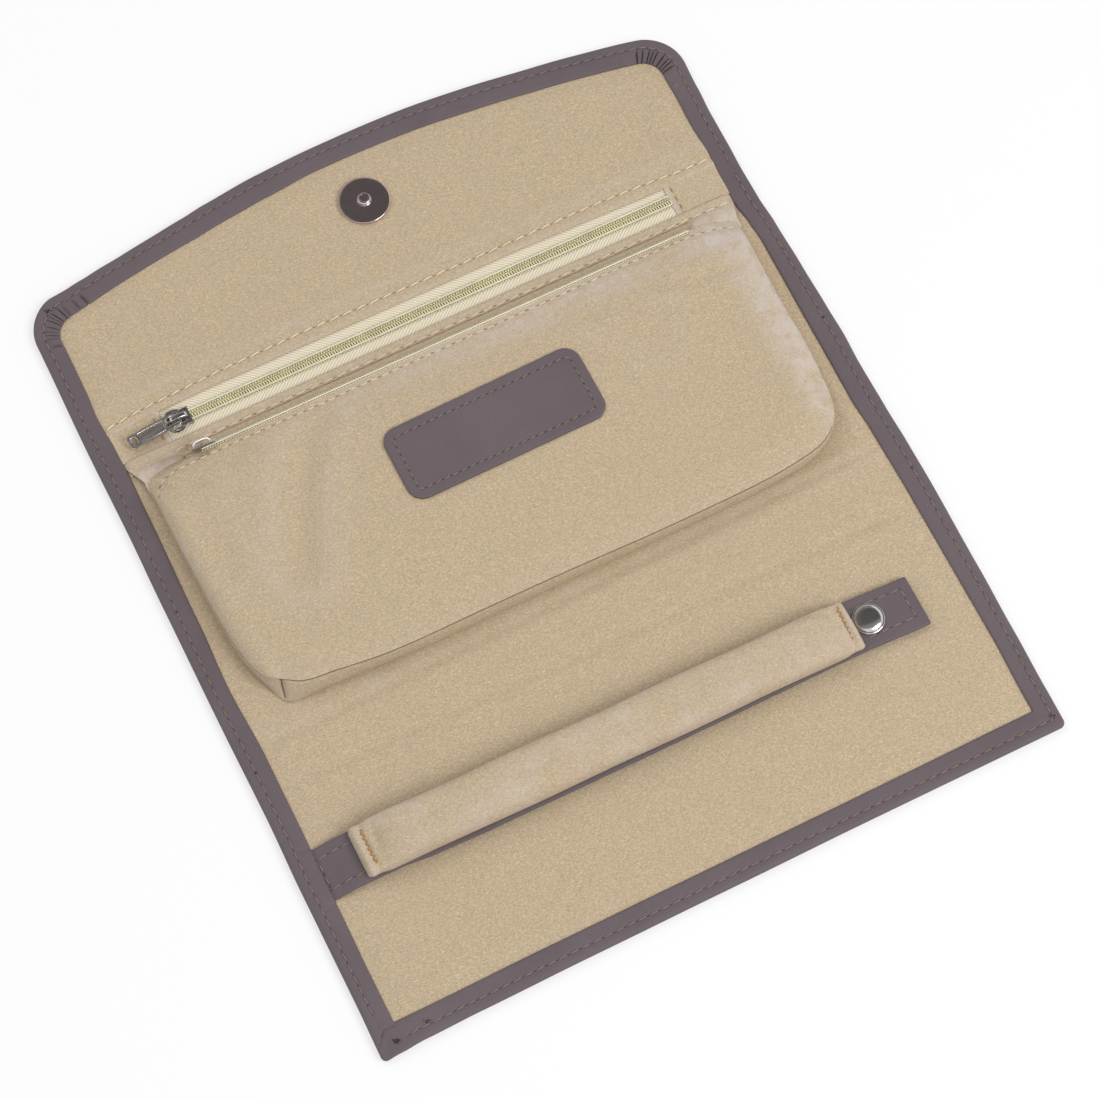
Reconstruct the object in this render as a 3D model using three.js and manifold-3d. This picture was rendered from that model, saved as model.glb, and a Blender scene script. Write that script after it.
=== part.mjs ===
// Jewelry roll, open and lying flat: a leather folder with a soft lining, a flat pocket and a
// pouch that close with coil zips, and a leather strap with a padded roll for rings.
// Millimetres, +Z up. X runs across the folder, +Y towards the flap.
// The origin is under the middle of the open folder, on the surface that it lies on.

import * as THREE from 'three';
import { mergeVertices } from 'three/addons/utils/BufferGeometryUtils.js';
import Module from 'manifold-3d';

const wasm = await Module();
wasm.setup();

// Folder
const openWidth = 250;
const flapArcRadius = 505;
const flapCornerRadius = 15;
const flapInnerCornerRadius = 8;
const sideBorder = 8.6;
const bottomBorder = 8.2;
const flapBorder = 10;

// Layers of the folder, from the outside in
const leatherThickness = 0.9;
const boardThickness = 0.6;
const liningThickness = 0.7;
const foldRoundShare = 0.45;

// Panels along the folder, from its lower edge
const lowerPanelLength = 92;
const lowerSpineLength = 23;
const middleLength = 103;
const flapLength = 59.1;
const creaseGap = 0.4;

// Clearances
const seatGap = 0.3;
const fitGap = 0.3;
const overrun = 2;

// Magnetic snap
const magnetRadius = 9;
const magnetPlateThickness = 2;
const magnetPlateRim = 0.5;
const magnetToFlapEdge = 27.7;
const magnetPostRadius = 2.5;
const magnetPostHeight = 1.5;
const magnetShankRadius = 1.8;
const magnetWasherRadius = 7.5;
const magnetWasherThickness = 0.5;
const magnetCaseWall = 0.35;

// Zips
const tapeThickness = 0.4;
const tapeSlot = 1.6;
const coilHalfWidth = 2;
const coilHeight = 1.3;
const coilPitch = 1.8;
const toothWidth = 0.6;
const toothReach = 0.3;
const coilSpine = 1.35;
const sliderLength = 9;
const sliderPlate = 0.7;
const sliderWall = 0.8;
const sliderBackPlate = 0.4;
const sliderTapeGap = 0.15;
const sliderCorner = 1.2;
const wedgeHalfWidth = 0.7;
const wedgeNeckHalfWidth = 0.5;
const wedgeLength = 3.6;
const bridgeLength = 6.4;
const bridgeWidth = 1.6;
const bridgeThickness = 0.6;
const pullLength = 19.5;
const pullWidth = 4.8;
const pullThickness = 0.8;
const pullPlay = 0.25;
const pullWindowLength = 4.2;
const pullHoleLength = 2.2;
const pullFieldLength = 7;
const pullFieldDepth = 0.2;
const pullRail = 1.1;

// Flat pocket with the upper zip
const upperZipFromCrease = 11.9;
const upperZipOpening = 12.4;
const upperZipTapeWidth = 8;
const upperSliderFromBorder = 24.4;
const upperZipTabLength = 21;
const stripWidth = 5.1;
const pocketLiningThickness = 0.3;

// Pouch with the lower zip
const pouchFromBorder = 5.4;
const pouchThickness = 11.5;
const pouchWall = 1;
const pouchBack = 0.8;
const pouchFromCrease = 3;
const pouchSideRound = 5;
const pouchCrownPower = 5;
const leftCornerRun = 8;
const leftCornerRise = 30;
const rightCornerRun = 33;
const rightCornerRise = 28;
const cornerControlShares = { leftRun: 0.2, leftRise: 0.27, rightRun: 0.06, rightRise: 0.08 };
const lowerZipTilt = 60;
const lowerZipFromCrease = 4.6;
const lowerZipHeight = 7.9;
const lowerZipTapeWidth = 4.4;
const lowerSliderFromMouth = 6.5;
const mouthFromPouchSide = 15;
const lowerZipTabThickness = 0.6;
const pouchTopGap = 1;

// Name patch, left bare
const patchLength = 73.5;
const patchHeight = 28.5;
const patchThickness = 1;
const patchCorner = 5.5;
const patchFromPouchTop = 40.8;
const patchOffset = 1.2;

// Ring strap with its padded roll and snap fastener
const strapWidth = 18.4;
const strapThickness = 1.6;
const strapLift = 1.8;
const strapFromLowerEdge = 60.8;
const strapEndFromBorder = 15.2;
const strapRootLength = 4;
const rollFromLeftBorder = 12.9;
const rollFromRightBorder = 40;
const rollWidth = 19.2;
const rollHeight = 8.4;
const rollWall = 1;
const rollSlot = 6;
const rollEndShare = 0.72;
const rollEndLength = 14;
const rollSectionPower = 2.6;
const snapFromBorder = 33.7;
const snapCapRadius = 5.6;
const snapCapHeight = 2.7;
const snapRingRadius = 5;
const snapRingHeight = 1.1;
const snapBulbRadius = 1.9;
const snapStudBase = 0.5;
const snapPostRadius = 1.2;
const snapFlangeRadius = 4.2;
const snapFlangeThickness = 0.4;

// Levels of the layers
const boardLevel = leatherThickness;
const liningLevel = boardLevel + boardThickness;
const liningTop = liningLevel + liningThickness;
const sheetThickness = liningTop + leatherThickness;
const foldRadius = sheetThickness * foldRoundShare;

// Creases. The upper spine is as high as what lies between the flap and the middle when closed.
const magnetPlateTop = liningTop + magnetPlateThickness;
const upperSpineLength = lowerSpineLength + magnetPlateTop + fitGap;
const creaseLowerPanel = lowerPanelLength;
const creaseLowerSpine = creaseLowerPanel + lowerSpineLength;
const creaseUpperSpine = creaseLowerSpine + middleLength;
const creaseFlap = creaseUpperSpine + upperSpineLength;
const openLength = creaseFlap + flapLength;
const halfWidth = openWidth / 2;
const layerHalfWidth = halfWidth - foldRadius - fitGap;
const windowHalfWidth = halfWidth - sideBorder;

// Magnet: the flap's half lands on the outside of the lower panel when both are folded over
const magnetY = openLength - magnetToFlapEdge;
const closedFoldSum = creaseLowerSpine + creaseLowerPanel;
const magnetFemaleY = closedFoldSum - (creaseUpperSpine - (magnetY - creaseFlap));

// Zips: levels over the middle of the tape
const coilBase = tapeThickness / 2;
const coilTop = coilBase + coilHeight;
const sliderTopPlateLevel = coilTop + sliderTapeGap;
const sliderTop = sliderTopPlateLevel + sliderPlate;
const pullAxisLevel = sliderTop + pullPlay + pullThickness / 2;
const bridgeUnderside = pullAxisLevel + pullThickness / 2 + pullPlay;
const coilParting = wedgeHalfWidth + toothReach + fitGap / 2;
const sliderFrontHalf = coilParting + coilHalfWidth + fitGap + sliderWall;
const sliderRearHalf = coilHalfWidth + fitGap + sliderWall;
const upperZipY = creaseUpperSpine + upperZipFromCrease;
const upperSliderX = -windowHalfWidth + upperSliderFromBorder;
const upperZipLevel = liningTop - tapeThickness / 2;
const upperZipEnd = windowHalfWidth - upperZipTabLength;

const lowerZipAngle = THREE.MathUtils.degToRad(lowerZipTilt);
const lowerZipY = creaseUpperSpine - lowerZipFromCrease;
const pouchHalfWidth = windowHalfWidth - pouchFromBorder;
const mouthHalfWidth = pouchHalfWidth - mouthFromPouchSide;
const lowerSliderX = -mouthHalfWidth + lowerSliderFromMouth;
const lowerZipEnd = mouthHalfWidth - overrun;

// Pouch levels
const pouchLevel = liningTop + seatGap;
const pouchBackTop = pouchLevel + pouchBack;
const pouchTop = pouchLevel + pouchThickness;
const pouchBottomY = creaseLowerSpine + pouchFromCrease;
const pouchTopY = creaseUpperSpine - pouchTopGap;

// Strap levels and places
const strapLevel = liningTop + strapLift;
const strapTop = strapLevel + strapThickness;
const strapLeftEnd = -windowHalfWidth + strapRootLength + fitGap;
const strapRightEnd = windowHalfWidth - strapEndFromBorder;
const rollLeft = -windowHalfWidth + rollFromLeftBorder;
const rollRight = windowHalfWidth - rollFromRightBorder;
const snapX = windowHalfWidth - snapFromBorder;

const leather = () => new THREE.MeshStandardMaterial({ color: 0x6b6166, roughness: 0.62 });
const velour = () => new THREE.MeshStandardMaterial({ color: 0xc4b294, roughness: 0.95 });
const board = () => new THREE.MeshStandardMaterial({ color: 0x8d8478, roughness: 0.9 });
const twill = () => new THREE.MeshStandardMaterial({ color: 0xd9cfb4, roughness: 0.85 });
const coilPlastic = () => new THREE.MeshStandardMaterial({ color: 0xcfc48e, roughness: 0.5 });
const nickel = () => new THREE.MeshStandardMaterial({ color: 0xb9b7b3, roughness: 0.2, metalness: 1 });
const steel = () => new THREE.MeshStandardMaterial({ color: 0x8f8f8f, roughness: 0.4, metalness: 1 });
const wadding = () => new THREE.MeshStandardMaterial({ color: 0xe8e4da, roughness: 1 });

// Closed, merged geometry whose faces point out
function closed(geometry) {
  geometry.deleteAttribute('normal');
  geometry.deleteAttribute('uv');
  const merged = mergeVertices(geometry);
  const p = merged.attributes.position;
  const i = merged.index.array;
  const a = new THREE.Vector3();
  const b = new THREE.Vector3();
  const c = new THREE.Vector3();
  let volume = 0;
  for (let k = 0; k < i.length; k += 3) {
    a.fromBufferAttribute(p, i[k]);
    b.fromBufferAttribute(p, i[k + 1]);
    c.fromBufferAttribute(p, i[k + 2]);
    volume += a.dot(b.cross(c));
  }
  if (volume < 0) {
    for (let k = 0; k < i.length; k += 3) {
      [i[k], i[k + 1]] = [i[k + 1], i[k]];
    }
  }
  return merged;
}

function solidOf(geometry) {
  const g = closed(geometry);
  return new wasm.Manifold(new wasm.Mesh({
    numProp: 3,
    vertProperties: new Float32Array(g.attributes.position.array),
    triVerts: new Uint32Array(g.index.array),
  }));
}

function geometryOf(solid) {
  const m = solid.getMesh();
  const g = new THREE.BufferGeometry();
  g.setAttribute('position', new THREE.BufferAttribute(new Float32Array(m.vertProperties), 3));
  g.setIndex(new THREE.BufferAttribute(new Uint32Array(m.triVerts), 1));
  return g;
}

function joined(...geometries) {
  return geometryOf(geometries.map(solidOf).reduce((all, next) => all.add(next)));
}

function cut(geometry, ...tools) {
  return geometryOf(tools.map(solidOf).reduce((rest, tool) => rest.subtract(tool), solidOf(geometry)));
}

function common(...geometries) {
  return geometryOf(geometries.map(solidOf).reduce((all, next) => all.intersect(next)));
}

// Plan outline made thick between two levels
function slab(shape, low, high, curveSegments = 6) {
  const g = new THREE.ExtrudeGeometry(shape, { depth: high - low, bevelEnabled: false, curveSegments });
  return g.translate(0, 0, low);
}

// Section drawn in X and Z, run along Y
function alongY(section, from, to, curveSegments = 2) {
  const g = new THREE.ExtrudeGeometry(section, { depth: to - from, bevelEnabled: false, curveSegments });
  const turn = new THREE.Matrix4().makeBasis(
    new THREE.Vector3(1, 0, 0), new THREE.Vector3(0, 0, 1), new THREE.Vector3(0, -1, 0));
  return g.applyMatrix4(turn).translate(0, to, 0);
}

// Section drawn in Y and Z, run along X
function alongX(section, from, to, curveSegments = 2) {
  const g = new THREE.ExtrudeGeometry(section, { depth: to - from, bevelEnabled: false, curveSegments });
  const turn = new THREE.Matrix4().makeBasis(
    new THREE.Vector3(0, 1, 0), new THREE.Vector3(0, 0, 1), new THREE.Vector3(1, 0, 0));
  return g.applyMatrix4(turn).translate(from, 0, 0);
}

function box(x0, x1, y0, y1, z0, z1) {
  return new THREE.BoxGeometry(x1 - x0, y1 - y0, z1 - z0)
    .translate((x0 + x1) / 2, (y0 + y1) / 2, (z0 + z1) / 2);
}

// Profile of radius and height turned about a vertical axis
function turned(profile, x, y, segments = 32) {
  const points = profile.map(([r, z]) => new THREE.Vector2(r, z));
  return new THREE.LatheGeometry(points, segments).rotateX(Math.PI / 2).translate(x, y, 0);
}

function disc(radius, low, high, x, y, segments = 32) {
  return turned([[0, low], [radius, low], [radius, high], [0, high]], x, y, segments);
}

function rectangle(x0, x1, y0, y1) {
  const s = new THREE.Shape();
  s.moveTo(x0, y0);
  s.lineTo(x1, y0);
  s.lineTo(x1, y1);
  s.lineTo(x0, y1);
  s.closePath();
  return s;
}

function roundedRectangle(length, height, corner) {
  const x = length / 2 - corner;
  const y = height / 2 - corner;
  const s = new THREE.Shape();
  s.moveTo(-x, -height / 2);
  s.absarc(x, -y, corner, -Math.PI / 2, 0);
  s.absarc(x, y, corner, 0, Math.PI / 2);
  s.absarc(-x, y, corner, Math.PI / 2, Math.PI);
  s.absarc(-x, -y, corner, Math.PI, Math.PI * 1.5);
  s.closePath();
  return s;
}

// Flap outline: straight sides, an arched upper edge and two round corners tangent to both
function flapOutline(inset, topInset, corner, low) {
  const side = halfWidth - inset;
  const centreY = openLength - flapArcRadius;
  const radius = flapArcRadius - topInset;
  const cornerX = side - corner;
  const cornerY = centreY + Math.sqrt((radius - corner) ** 2 - cornerX ** 2);
  const angle = Math.atan2(cornerY - centreY, cornerX);
  const s = new THREE.Shape();
  s.moveTo(-side, low);
  s.lineTo(side, low);
  s.lineTo(side, cornerY);
  s.absarc(cornerX, cornerY, corner, 0, angle);
  s.absarc(0, centreY, radius, angle, Math.PI - angle);
  s.absarc(-cornerX, cornerY, corner, Math.PI - angle, Math.PI);
  s.closePath();
  return s;
}

// Sheet with a rounded edge all round
function roundedSheet(outline) {
  const depth = sheetThickness - 2 * foldRadius;
  return new THREE.ExtrudeGeometry(outline, {
    depth, curveSegments: 6, bevelThickness: foldRadius, bevelSize: foldRadius,
    bevelOffset: -foldRadius, bevelSegments: 3,
  }).translate(0, 0, foldRadius);
}

// Leather with both side edges turned over: outer sheet, rounded folds and flanges
function turnedSection() {
  const r = foldRadius;
  const t = leatherThickness;
  const top = sheetThickness;
  const x = halfWidth - r;
  const s = new THREE.Shape();
  s.moveTo(-x, 0);
  s.absarc(x, r, r, -Math.PI / 2, 0);
  s.absarc(x, top - r, r, 0, Math.PI / 2);
  s.lineTo(windowHalfWidth, top);
  s.lineTo(windowHalfWidth, top - t);
  s.absarc(x, top - r, r - t, Math.PI / 2, 0, true);
  s.absarc(x, r, r - t, 0, -Math.PI / 2, true);
  s.absarc(-x, r, r - t, -Math.PI / 2, -Math.PI, true);
  s.absarc(-x, top - r, r - t, Math.PI, Math.PI / 2, true);
  s.lineTo(-windowHalfWidth, top - t);
  s.lineTo(-windowHalfWidth, top);
  s.absarc(-x, top - r, r, Math.PI / 2, Math.PI);
  s.absarc(-x, r, r, Math.PI, Math.PI * 1.5);
  s.closePath();
  return s;
}

function turnedCover(from, to) {
  return alongY(turnedSection(), from + creaseGap / 2, to - creaseGap / 2);
}

function layer(from, to, low, high) {
  return box(-layerHalfWidth, layerHalfWidth, from + creaseGap / 2, to - creaseGap / 2, low, high);
}

function lowerPanelCover() {
  const end = creaseLowerPanel - creaseGap / 2;
  const past = creaseLowerPanel + foldRadius * 2 + overrun;
  const t = leatherThickness;
  const sheet = roundedSheet(rectangle(-halfWidth, halfWidth, 0, past));
  const pocket = box(-halfWidth + t, halfWidth - t, t, past + overrun, t, liningTop);
  const window = box(-windowHalfWidth, windowHalfWidth, bottomBorder, past + overrun,
    liningTop - t / 2, sheetThickness + overrun);
  const beyond = box(-openWidth, openWidth, end, past + overrun, -overrun, sheetThickness + overrun);
  const hole = disc(magnetRadius + fitGap, -overrun, leatherThickness + t / 2, 0, magnetFemaleY);
  return cut(sheet, pocket, window, beyond, hole);
}

function lowerPanelLayer(low, high, holes) {
  const sheet = box(-layerHalfWidth, layerHalfWidth, foldRadius + fitGap,
    creaseLowerPanel - creaseGap / 2, low, high);
  const tools = holes.map(([radius, x, y]) => disc(radius, low - overrun, high + overrun, x, y));
  return cut(sheet, ...tools);
}

function flapCover() {
  const start = creaseFlap + creaseGap / 2;
  const before = creaseFlap - foldRadius * 2 - overrun;
  const t = leatherThickness;
  const sheet = roundedSheet(flapOutline(0, 0, flapCornerRadius, before));
  const pocket = slab(flapOutline(t, t, flapCornerRadius - t, before - overrun), t, liningTop);
  const window = slab(flapOutline(sideBorder, flapBorder, flapInnerCornerRadius, before - overrun),
    liningTop - t / 2, sheetThickness + overrun);
  const beyond = box(-openWidth, openWidth, before - overrun, start, -overrun, sheetThickness + overrun);
  return cut(sheet, pocket, window, beyond);
}

function flapLayer(low, high, holeRadius) {
  const inset = foldRadius + fitGap;
  const outline = flapOutline(inset, inset, flapCornerRadius - inset, creaseFlap + creaseGap / 2);
  const hole = disc(holeRadius, low - overrun, high + overrun, 0, magnetY);
  return cut(slab(outline, low, high), hole);
}

// Flap half of the magnetic snap: a plate with a raised rim, a post and a shank through the lining
function magnetMalePlate() {
  const rimDrop = magnetPlateRim / 2;
  return turned([
    [0, boardLevel + magnetWasherThickness + fitGap / 3],
    [magnetShankRadius, boardLevel + magnetWasherThickness + fitGap / 3],
    [magnetShankRadius, liningTop],
    [magnetRadius, liningTop],
    [magnetRadius, magnetPlateTop - rimDrop],
    [magnetRadius - rimDrop, magnetPlateTop],
    [magnetRadius - magnetPlateRim * 2, magnetPlateTop],
    [magnetRadius - magnetPlateRim * 2 - rimDrop, magnetPlateTop - rimDrop],
    [magnetPostRadius, magnetPlateTop - rimDrop],
    [magnetPostRadius, magnetPlateTop + magnetPostHeight - rimDrop],
    [magnetPostRadius - rimDrop, magnetPlateTop + magnetPostHeight],
    [magnetPostRadius / 2, magnetPlateTop + magnetPostHeight],
    [magnetPostRadius / 2 - rimDrop, magnetPlateTop + magnetPostHeight - rimDrop],
    [0, magnetPlateTop + magnetPostHeight - rimDrop],
  ], 0, magnetY, 40);
}

function magnetMaleWasher() {
  return disc(magnetWasherRadius, boardLevel, boardLevel + magnetWasherThickness, 0, magnetY);
}

// Other half: a shallow cup flush with the outside of the leather, with a collar round its hole
function magnetFemaleCase() {
  const wall = magnetCaseWall;
  const bore = magnetPostRadius + fitGap;
  const top = liningLevel;
  return turned([
    [bore, 0], [magnetRadius - wall, 0], [magnetRadius, wall], [magnetRadius, top],
    [magnetRadius - wall, top], [magnetRadius - wall, wall], [bore + wall, wall],
    [bore + wall, top], [bore, top], [bore, 0],
  ], 0, magnetFemaleY, 40);
}

function magnetRing() {
  const wall = magnetCaseWall;
  const inner = magnetPostRadius + fitGap + wall + fitGap;
  const outer = magnetRadius - wall - fitGap;
  return turned([
    [inner, wall], [outer, wall], [outer, liningLevel - fitGap / 2], [inner, liningLevel - fitGap / 2],
    [inner, wall],
  ], 0, magnetFemaleY);
}

// How far each coil has parted at x: nothing behind the slider's wedge, the wedge's half in front
function parting(x, sliderX) {
  const share = THREE.MathUtils.smoothstep(sliderX - x, -sliderLength / 9, sliderLength / 3);
  return coilParting * share;
}

// One side of the coil, seen from above: a spine along the tape and a comb of heads that mesh
// with the other side's, half a pitch along. side is 1 or -1.
function coilOutline(side, from, to, sliderX) {
  const at = (x, y) => new THREE.Vector2(x, side * (y + parting(x, sliderX)));
  const root = coilHalfWidth - coilSpine;
  const points = [];
  const shift = side > 0 ? 0 : coilPitch / 2;
  for (let x = from + shift + coilPitch / 4; x + toothWidth < to; x += coilPitch) {
    points.push(at(x, root), at(x, -toothReach));
    points.push(at(x + toothWidth, -toothReach), at(x + toothWidth, root));
  }
  const back = [];
  for (let x = from; x < sliderX + sliderLength / 2; x += coilPitch) {
    back.push(at(x, coilHalfWidth));
  }
  const end = [at(to, root), at(to, coilHalfWidth)];
  return new THREE.Shape([at(from, root), ...points, ...end, ...back.reverse()]);
}

// Slider outline, narrow behind and wide in front, made smaller by inset
function sliderOutline(inset) {
  const front = -sliderLength / 2 + inset;
  const rear = sliderLength / 2 - inset;
  const wide = sliderFrontHalf - inset;
  const narrow = sliderRearHalf - inset;
  const s = new THREE.Shape();
  s.moveTo(front + sliderCorner, -wide);
  s.lineTo(0, -wide);
  s.lineTo(sliderCorner, -narrow);
  s.lineTo(rear - sliderCorner, -narrow);
  s.quadraticCurveTo(rear, -narrow, rear, -narrow + sliderCorner);
  s.lineTo(rear, narrow - sliderCorner);
  s.quadraticCurveTo(rear, narrow, rear - sliderCorner, narrow);
  s.lineTo(sliderCorner, narrow);
  s.lineTo(0, wide);
  s.lineTo(front + sliderCorner, wide);
  s.quadraticCurveTo(front, wide, front, wide - sliderCorner);
  s.lineTo(front, -wide + sliderCorner);
  s.quadraticCurveTo(front, -wide, front + sliderCorner, -wide);
  return s;
}

// Channel that the coils run in: one width behind, wider in front where they part
function sliderChannel() {
  const wide = sliderFrontHalf - sliderWall;
  const narrow = sliderRearHalf - sliderWall;
  const end = sliderLength / 2 + overrun;
  const s = new THREE.Shape();
  s.moveTo(-end, -wide);
  s.lineTo(-sliderCorner / 2, -wide);
  s.lineTo(sliderCorner * 0.75, -narrow);
  s.lineTo(end, -narrow);
  s.lineTo(end, narrow);
  s.lineTo(sliderCorner * 0.75, narrow);
  s.lineTo(-sliderCorner / 2, wide);
  s.lineTo(-end, wide);
  s.closePath();
  return s;
}

// Diamond between the two coils, pointed where they part
function wedgeOutline(half) {
  const front = -sliderLength / 2;
  const s = new THREE.Shape();
  s.moveTo(front, -half / 2);
  s.lineTo(front + wedgeLength / 3, -half);
  s.lineTo(front + wedgeLength, 0);
  s.lineTo(front + wedgeLength / 3, half);
  s.lineTo(front, half / 2);
  s.closePath();
  return s;
}

function sliderBody() {
  const flangeBottom = coilBase + sliderTapeGap;
  const backTop = -coilBase - sliderTapeGap;
  const backBottom = backTop - sliderBackPlate;
  const plate = slab(sliderOutline(0), flangeBottom, sliderTop, 2);
  const channel = slab(sliderChannel(), flangeBottom - overrun, sliderTopPlateLevel);
  const back = slab(sliderOutline(sliderWall / 4), backBottom, backTop, 2);
  const wedge = slab(wedgeOutline(wedgeHalfWidth), flangeBottom, sliderTop - sliderPlate / 2);
  const neck = slab(wedgeOutline(wedgeNeckHalfWidth), backTop - sliderBackPlate / 2,
    sliderTop - sliderPlate / 2);
  const half = bridgeLength / 2;
  const foot = sliderTop - sliderPlate / 2;
  const top = bridgeUnderside + bridgeThickness;
  const arch = new THREE.Shape();
  arch.moveTo(-half, foot);
  arch.lineTo(-half, bridgeUnderside);
  arch.lineTo(-half + bridgeThickness, top);
  arch.lineTo(half - bridgeThickness, top);
  arch.lineTo(half, bridgeUnderside);
  arch.lineTo(half, foot);
  arch.lineTo(half - bridgeThickness, foot);
  arch.lineTo(half - bridgeThickness, bridgeUnderside);
  arch.lineTo(-half + bridgeThickness, bridgeUnderside);
  arch.lineTo(-half + bridgeThickness, foot);
  arch.closePath();
  const bridge = alongY(arch, -bridgeWidth / 2, bridgeWidth / 2);
  return joined(cut(plate, channel), wedge, neck, back, bridge);
}

// Pull tab: a bar under the bridge, a window that clears it, a sunk field and a hole at the end
function pullTab() {
  const half = pullThickness / 2;
  const outline = roundedRectangle(pullLength, pullWidth, pullWidth / 5);
  const plate = slab(outline, -half, half, 2).translate(half - pullLength / 2, 0, 0);
  const rail = pullRail;
  const windowStart = -half;
  const windowEnd = windowStart - pullWindowLength;
  const inner = pullWidth / 2 - rail;
  const window = box(windowEnd, windowStart, -inner, inner, -overrun, overrun);
  const fieldEnd = windowEnd - rail * 2 - pullFieldLength;
  const sunk = half - pullFieldDepth;
  const field = box(fieldEnd, fieldEnd + pullFieldLength, -pullWidth / 2 + rail * 0.7,
    pullWidth / 2 - rail * 0.7, sunk, overrun);
  const holeEnd = fieldEnd - rail - pullHoleLength;
  const hole = box(holeEnd, holeEnd + pullHoleLength, -inner, inner, -overrun, overrun);
  return cut(plate, window, field, hole);
}

// Plan outline of the pouch: the left corner is boxed and short, the right one long and round
function pouchOutline(inset) {
  const w = pouchHalfWidth - inset;
  const low = pouchBottomY + inset;
  const c = cornerControlShares;
  const s = new THREE.Shape();
  s.moveTo(w, pouchTopY);
  s.lineTo(-w, pouchTopY);
  s.lineTo(-w, low + leftCornerRise);
  s.quadraticCurveTo(-w + leftCornerRun * c.leftRun, low + leftCornerRise * c.leftRise,
    -w + leftCornerRun, low);
  s.lineTo(w - rightCornerRun, low);
  s.quadraticCurveTo(w - rightCornerRun * c.rightRun, low + rightCornerRise * c.rightRise,
    w, low + rightCornerRise);
  s.closePath();
  return s;
}

// Side view of the pouch: a steep crown in front, cut by the plane of the zip behind
function pouchSide(inset, low, planeOffset) {
  const front = pouchBottomY + inset;
  const back = creaseUpperSpine + pouchFromCrease;
  const middle = (front + back) / 2;
  const half = (back - front) / 2;
  const height = pouchTop - pouchBackTop - inset;
  const n = [Math.sin(lowerZipAngle), Math.cos(lowerZipAngle)];
  const t = [-Math.cos(lowerZipAngle), Math.sin(lowerZipAngle)];
  const onPlane = [lowerZipY + n[0] * planeOffset, lowerZipHeight + n[1] * planeOffset];
  const planeY = (z) => onPlane[0] + t[0] * ((z - onPlane[1]) / t[1]);
  const points = [new THREE.Vector2(front, low)];
  const steps = 18;
  for (let k = 0; k <= steps; k += 1) {
    const a = Math.PI * (1 - k / steps);
    const c = Math.cos(a);
    const power = 2 / pouchCrownPower;
    const y = middle + half * Math.sign(c) * Math.abs(c) ** power;
    const z = pouchBackTop + height * Math.abs(Math.sin(a)) ** power;
    if (y > planeY(z)) break;
    points.push(new THREE.Vector2(y, z));
  }
  const last = points[points.length - 1];
  points.push(new THREE.Vector2(planeY(last.y - pouchWall / 2), last.y - pouchWall / 2));
  points.push(new THREE.Vector2(Math.min(planeY(pouchBackTop), pouchTopY - inset), pouchBackTop));
  points.push(new THREE.Vector2(pouchTopY - inset, low));
  return new THREE.Shape(points.filter((q, k) => k === 0 || q.distanceTo(points[k - 1]) > fitGap / 10));
}

// Front view of the pouch: upper edges rounded
function pouchFrontView(inset, low) {
  const w = pouchHalfWidth - inset;
  const top = pouchTop - inset;
  const r = pouchSideRound;
  const s = new THREE.Shape();
  s.moveTo(-w, low);
  s.lineTo(w, low);
  s.absarc(w - r, top - r, r, 0, Math.PI / 2);
  s.absarc(-w + r, top - r, r, Math.PI / 2, Math.PI);
  s.closePath();
  return s;
}

function pouchBody(inset, low, planeOffset) {
  const side = alongX(pouchSide(inset, low, planeOffset), -openWidth, openWidth);
  const front = alongY(pouchFrontView(inset, low), 0, openLength, 3);
  const plan = slab(pouchOutline(inset), low, pouchTop + overrun);
  return common(side, front, plan);
}

// Frame of the lower zip: y runs across its tape, z stands off it
function inLowerZip(geometry) {
  return geometry.rotateX(-lowerZipAngle).translate(0, lowerZipY, lowerZipHeight);
}

// Front panel and gusset in one shell, open at the back and along the zip
function pouchFront() {
  const lap = coilTop + coilBase;
  const outer = pouchBody(0, pouchBackTop, lap);
  const inner = pouchBody(pouchWall, pouchBackTop - overrun, lap - pouchWall);
  const edge = -(sliderFrontHalf + fitGap);
  const reach = pouchThickness;
  const mouth = inLowerZip(box(-mouthHalfWidth, mouthHalfWidth, edge, reach, -overrun * 2, reach));
  return cut(outer, inner, mouth);
}

function pouchBackPanel() {
  return slab(pouchOutline(0), pouchLevel, pouchBackTop);
}

function namePatch() {
  const outline = roundedRectangle(patchLength, patchHeight, patchCorner);
  const low = pouchTop + fitGap / 3;
  return slab(outline, low, low + patchThickness, 4)
    .translate(patchOffset, pouchTopY - patchFromPouchTop, 0);
}

// Strap root: sewn to the lining beside the border and raised to the level of the strap
function strapRoot() {
  const x0 = -windowHalfWidth + fitGap;
  const x1 = x0 + strapRootLength - fitGap;
  const rise = strapRootLength / 4;
  const s = new THREE.Shape();
  s.moveTo(x0, liningTop);
  s.lineTo(x0 + rise, liningTop);
  s.lineTo(x1 - rise, strapLevel);
  s.lineTo(x1, strapLevel);
  s.lineTo(x1, strapTop);
  s.lineTo(x1 - rise, strapTop);
  s.lineTo(x0, liningTop + leatherThickness);
  s.closePath();
  return alongY(s, strapFromLowerEdge - strapWidth / 2, strapFromLowerEdge + strapWidth / 2);
}

function strapLeather() {
  const plate = box(strapLeftEnd, strapRightEnd, strapFromLowerEdge - strapWidth / 2,
    strapFromLowerEdge + strapWidth / 2, strapLevel, strapTop);
  const hole = disc(snapPostRadius + fitGap * 2, strapLevel - overrun, strapTop + overrun,
    snapX, strapFromLowerEdge);
  return cut(plate, hole);
}

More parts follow.
